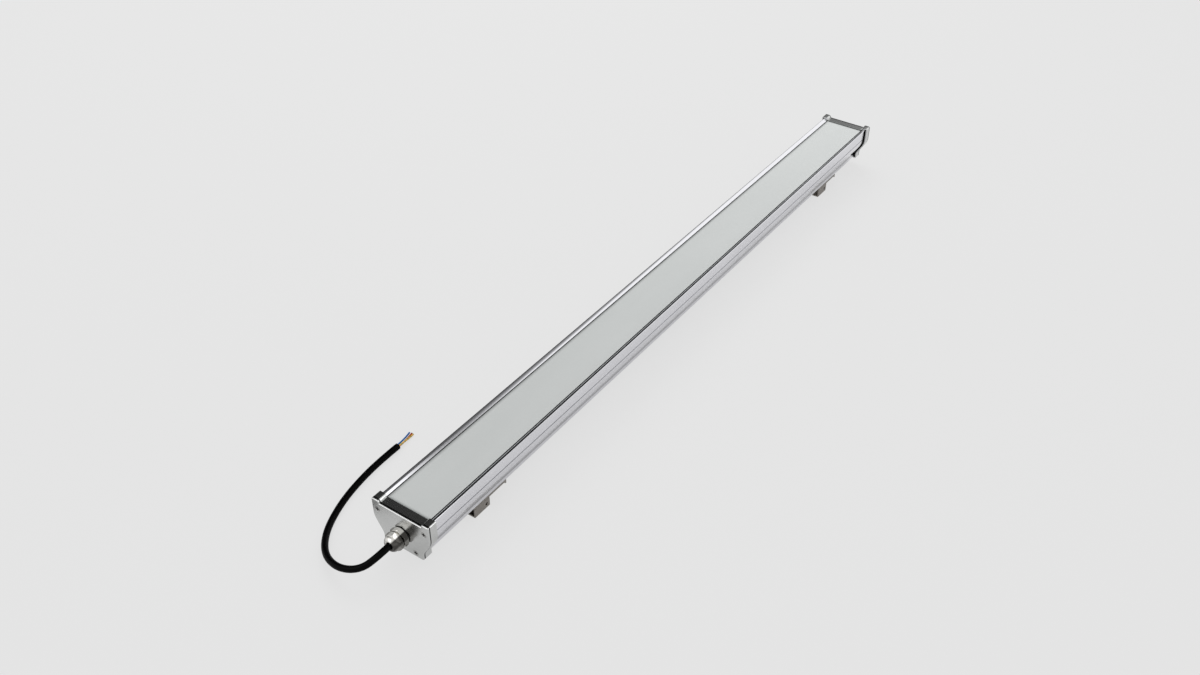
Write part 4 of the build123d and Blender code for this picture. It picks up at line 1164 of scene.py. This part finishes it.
@dataclass
class Studio:
    """Pale floor, soft light and the camera.

    Attributes:
        eye: the camera's place.
        azimuth, elevation, roll: where it looks, in degrees.
        lens: focal length on a 36 mm wide sensor, in millimetres.
        ground: display colour of floor and background.
        floor_glow: share of the floor's colour that the camera sees unlit; the rest keeps the shadow.
        mirrored_glow: the same share for what metal and glass see.
        floor_size: half the floor's width.
        soft_glow: how bright the surroundings light what is matt.
        lamp_place: where the soft light hangs.
        lamp_size, lamp_power: its width and its power in watts.
    """

    eye: Point = (-1.2454, -0.7288, 1.0691)
    azimuth: float = -55.318
    elevation: float = 37.769
    roll: float = 0.308
    lens: float = 35.06
    ground: Colour = (230, 230, 230)
    floor_glow: float = 0.85
    mirrored_glow: float = 0.42
    floor_size: float = 30.0
    soft_glow: float = 0.70
    lamp_place: Point = (1.4, 1.5, 2.6)
    lamp_size: float = 2.5
    lamp_power: float = 42.0

    def camera(self) -> None:
        """Sets up the camera."""
        data = bpy.data.cameras.new("camera")
        data.sensor_width = 36.0
        data.lens = self.lens
        data.clip_end = 100.0
        camera = stand("camera", data)
        azimuth = math.radians(self.azimuth)
        height = math.radians(self.elevation)
        back = Vector((math.sin(azimuth) * math.cos(height), -math.cos(azimuth) * math.cos(height),
                       math.sin(height)))
        right = Vector((0, 0, 1)).cross(back).normalized()
        up = back.cross(right)
        turned = Matrix((right, up, back)).transposed() @ Matrix.Rotation(math.radians(self.roll), 3, "Z")
        camera.matrix_world = Matrix.Translation(self.eye) @ turned.to_4x4()
        bpy.context.scene.camera = camera

    def floor(self) -> None:
        """Lays the floor."""
        mesh = bmesh.new()
        bmesh.ops.create_grid(mesh, x_segments=1, y_segments=1, size=self.floor_size)
        material = bpy.data.materials.new("floor")
        material.use_nodes = True
        graph = Graph(material.node_tree)
        speck = graph.noise((40.0, 40.0, 40.0), 2.0)
        paper = linear(*self.ground)
        tint = graph.blend(speck.spread(0.3, 0.7, 0.0, 0.02), paper, WHITE)
        lit = graph.surface(Base_Color=tint, Roughness=0.9, Specular_IOR_Level=0.0)
        glow = graph.node("ShaderNodeEmission", {}, {"Color": paper, "Strength": 1.0})
        camera = graph.node("ShaderNodeLightPath", output="Is Camera Ray")
        glossy = graph.node("ShaderNodeLightPath", output="Is Glossy Ray")
        through = graph.node("ShaderNodeLightPath", output="Is Transmission Ray")
        seen = camera * self.floor_glow + (glossy + through) * self.mirrored_glow
        graph.finish(graph.node("ShaderNodeMixShader", {}, {0: seen, 1: lit, 2: glow}))
        data = bpy.data.meshes.new("floor")
        mesh.to_mesh(data)
        mesh.free()
        data.materials.append(material)
        floor = stand("floor", data)

    def sky(self) -> None:
        """Makes the surroundings: plain to the eye, with bright and dark sides in reflections."""
        world = bpy.data.worlds.new("studio")
        bpy.context.scene.world = world
        world.use_nodes = True
        graph = Graph(world.node_tree)
        way = graph.node("ShaderNodeTexCoord", output="Generated")
        axes = [graph.node("ShaderNodeSeparateXYZ", {}, {0: way}, output=axis) for axis in range(3)]
        along, left, high = axes
        reach = along - left * 0.25
        shades = [(0.0, 0.03), (0.45, 0.12), (0.57, 0.12), (0.67, 0.33)]
        shades += [(0.715, 0.56), (0.74, 1.0), (0.8, 1.2)]
        stops = [(place, (shade / 2, shade / 2, shade / 2, 1.0)) for place, shade in shades]
        ahead = graph.node("ShaderNodeValToRGB", {"stops": stops}, {0: reach}) * 2.0
        left_side = left.above(0.24, 0.14)
        right_side = (-left).above(0.30, 0.2) * (1.0 - high.above(0.45, 0.2)) * 0.95
        beside = (1.0 - along.above(0.49, 0.06)) * along.above(0.25, 0.15)
        right_top = (-left).above(0.28, 0.12) * beside * 1.5
        behind = (-along).above(0.0, 0.5) * 0.85
        even = ahead * (1.0 - 0.75 * left_side) + right_side + behind
        glow = even.spread(0.0, 1.12, 0.0, 1.12) + right_top
        edge_light = (-along).above(0.35, 0.3) * high.above(0.48, 0.12) * left.above(0.15, 0.2)
        glow = glow + edge_light * 1.3
        path = graph.node("ShaderNodeLightPath", output="Is Camera Ray")
        glossy = graph.node("ShaderNodeLightPath", output="Is Glossy Ray")
        ground = linear(*self.ground)
        seen = graph.node("ShaderNodeBackground", {}, {"Color": ground, "Strength": 1.0})
        mirrored = graph.node("ShaderNodeBackground", {}, {"Color": WHITE, "Strength": glow})
        soft = graph.node("ShaderNodeBackground", {}, {"Color": WHITE, "Strength": self.soft_glow})
        inner = graph.node("ShaderNodeMixShader", {}, {0: glossy, 1: soft, 2: mirrored})
        shader = graph.node("ShaderNodeMixShader", {}, {0: path, 1: inner, 2: seen})
        graph.finish(shader, "ShaderNodeOutputWorld")

    def lamps(self) -> None:
        """Hangs one soft light high on the left, past the lamp's far end."""
        data = bpy.data.lights.new("soft_light", "AREA")
        data.shape = "SQUARE"
        data.size = self.lamp_size
        data.energy = self.lamp_power
        light = stand("soft_light", data)
        light.visible_glossy = False
        light.visible_camera = False
        spot = Vector(self.lamp_place)
        light.matrix_world = Matrix.Translation(spot) @ (spot.to_track_quat("Z", "Y").to_matrix().to_4x4())

    def build(self) -> None:
        """Builds floor, surroundings, light and camera."""
        self.floor()
        self.sky()
        self.lamps()
        self.camera()
        bpy.context.scene.view_settings.view_transform = "Standard"


@dataclass
class WallWasher:
    """The whole lamp: which CAD nodes are dressed, copied or rebuilt.

    Attributes:
        finishes: the lamp's finishes.
    """

    finishes: Finishes = field(default_factory=Finishes)

    def slots(self) -> Dict[str, Finish]:
        """Sorts the finishes by the record's material slots.

        Returns:
            Each slot's finish.
        """
        kit = self.finishes
        made = [kit.anodised, kit.frosted, kit.seal, kit.cap, kit.screws, kit.white_board, kit.chips]
        made += [kit.lens, kit.driver, kit.green_board, kit.parts, kit.terminal, kit.brass, kit.leads]
        made += [kit.gland, kit.jacket, kit.blue, kit.brown, kit.earth, kit.bracket]
        return {finish.title: finish for finish in made}

    def dress(self) -> None:
        """Gives every CAD node the finish of its slot."""
        finishes = self.slots()
        for part in frame["record"]["subparts"]:
            node = frame["nodes"][part["node"]]
            finish = finishes[part["material_slot"]]
            node.data.materials.clear()
            node.data.materials.append(finish.material())

    def copies(self) -> List[SmoothCopies]:
        """Lists the nodes that get a merged, smooth copy.

        Returns:
            One group of copies for each body.
        """
        slots = {part["node"]: part["material_slot"] for part in frame["record"]["subparts"]}
        finishes = self.slots()
        lamp = ["housing_extrusion", "foot_rail", "frosted_cover", "cover_gasket_left", "cover_gasket_right"]
        for end in ("near", "far"):
            lamp += [f"{end}_end_plate", f"{end}_end_collar", f"{end}_collar_gasket", f"{end}_plate_gasket"]
            lamp += [f"{end}_end_screws"]
        groups = [("lamp", lamp)]
        for end in ("near", "far"):
            bracket = ["bracket_base", "clamp_screws", "slide_nuts"]
            bracket += ["pivot_bolt", "pivot_washers", "pivot_nut"]
            groups.append((f"{end}_bracket", [f"{end}_{name}" for name in bracket]))
            groups.append((f"{end}_leg", [f"{end}_bracket_leg"]))
        made = []
        for body, nodes in groups:
            dressed = {node: (slots[node], finishes[slots[node]]) for node in nodes}
            made.append(SmoothCopies(body, dressed, self.finishes.recess))
        return made

    def build(self) -> None:
        """Dresses the frame and adds every rebuilt piece."""
        self.dress()
        SupplyCable(self.finishes).build()
        Gland(self.finishes).build()
        for group in self.copies():
            group.build()


def main() -> None:
    """Builds the studio and the lamp."""
    logging.basicConfig(level=logging.INFO, format="%(message)s")
    Studio().build()
    WallWasher().build()


if __name__ == "__main__":
    main()
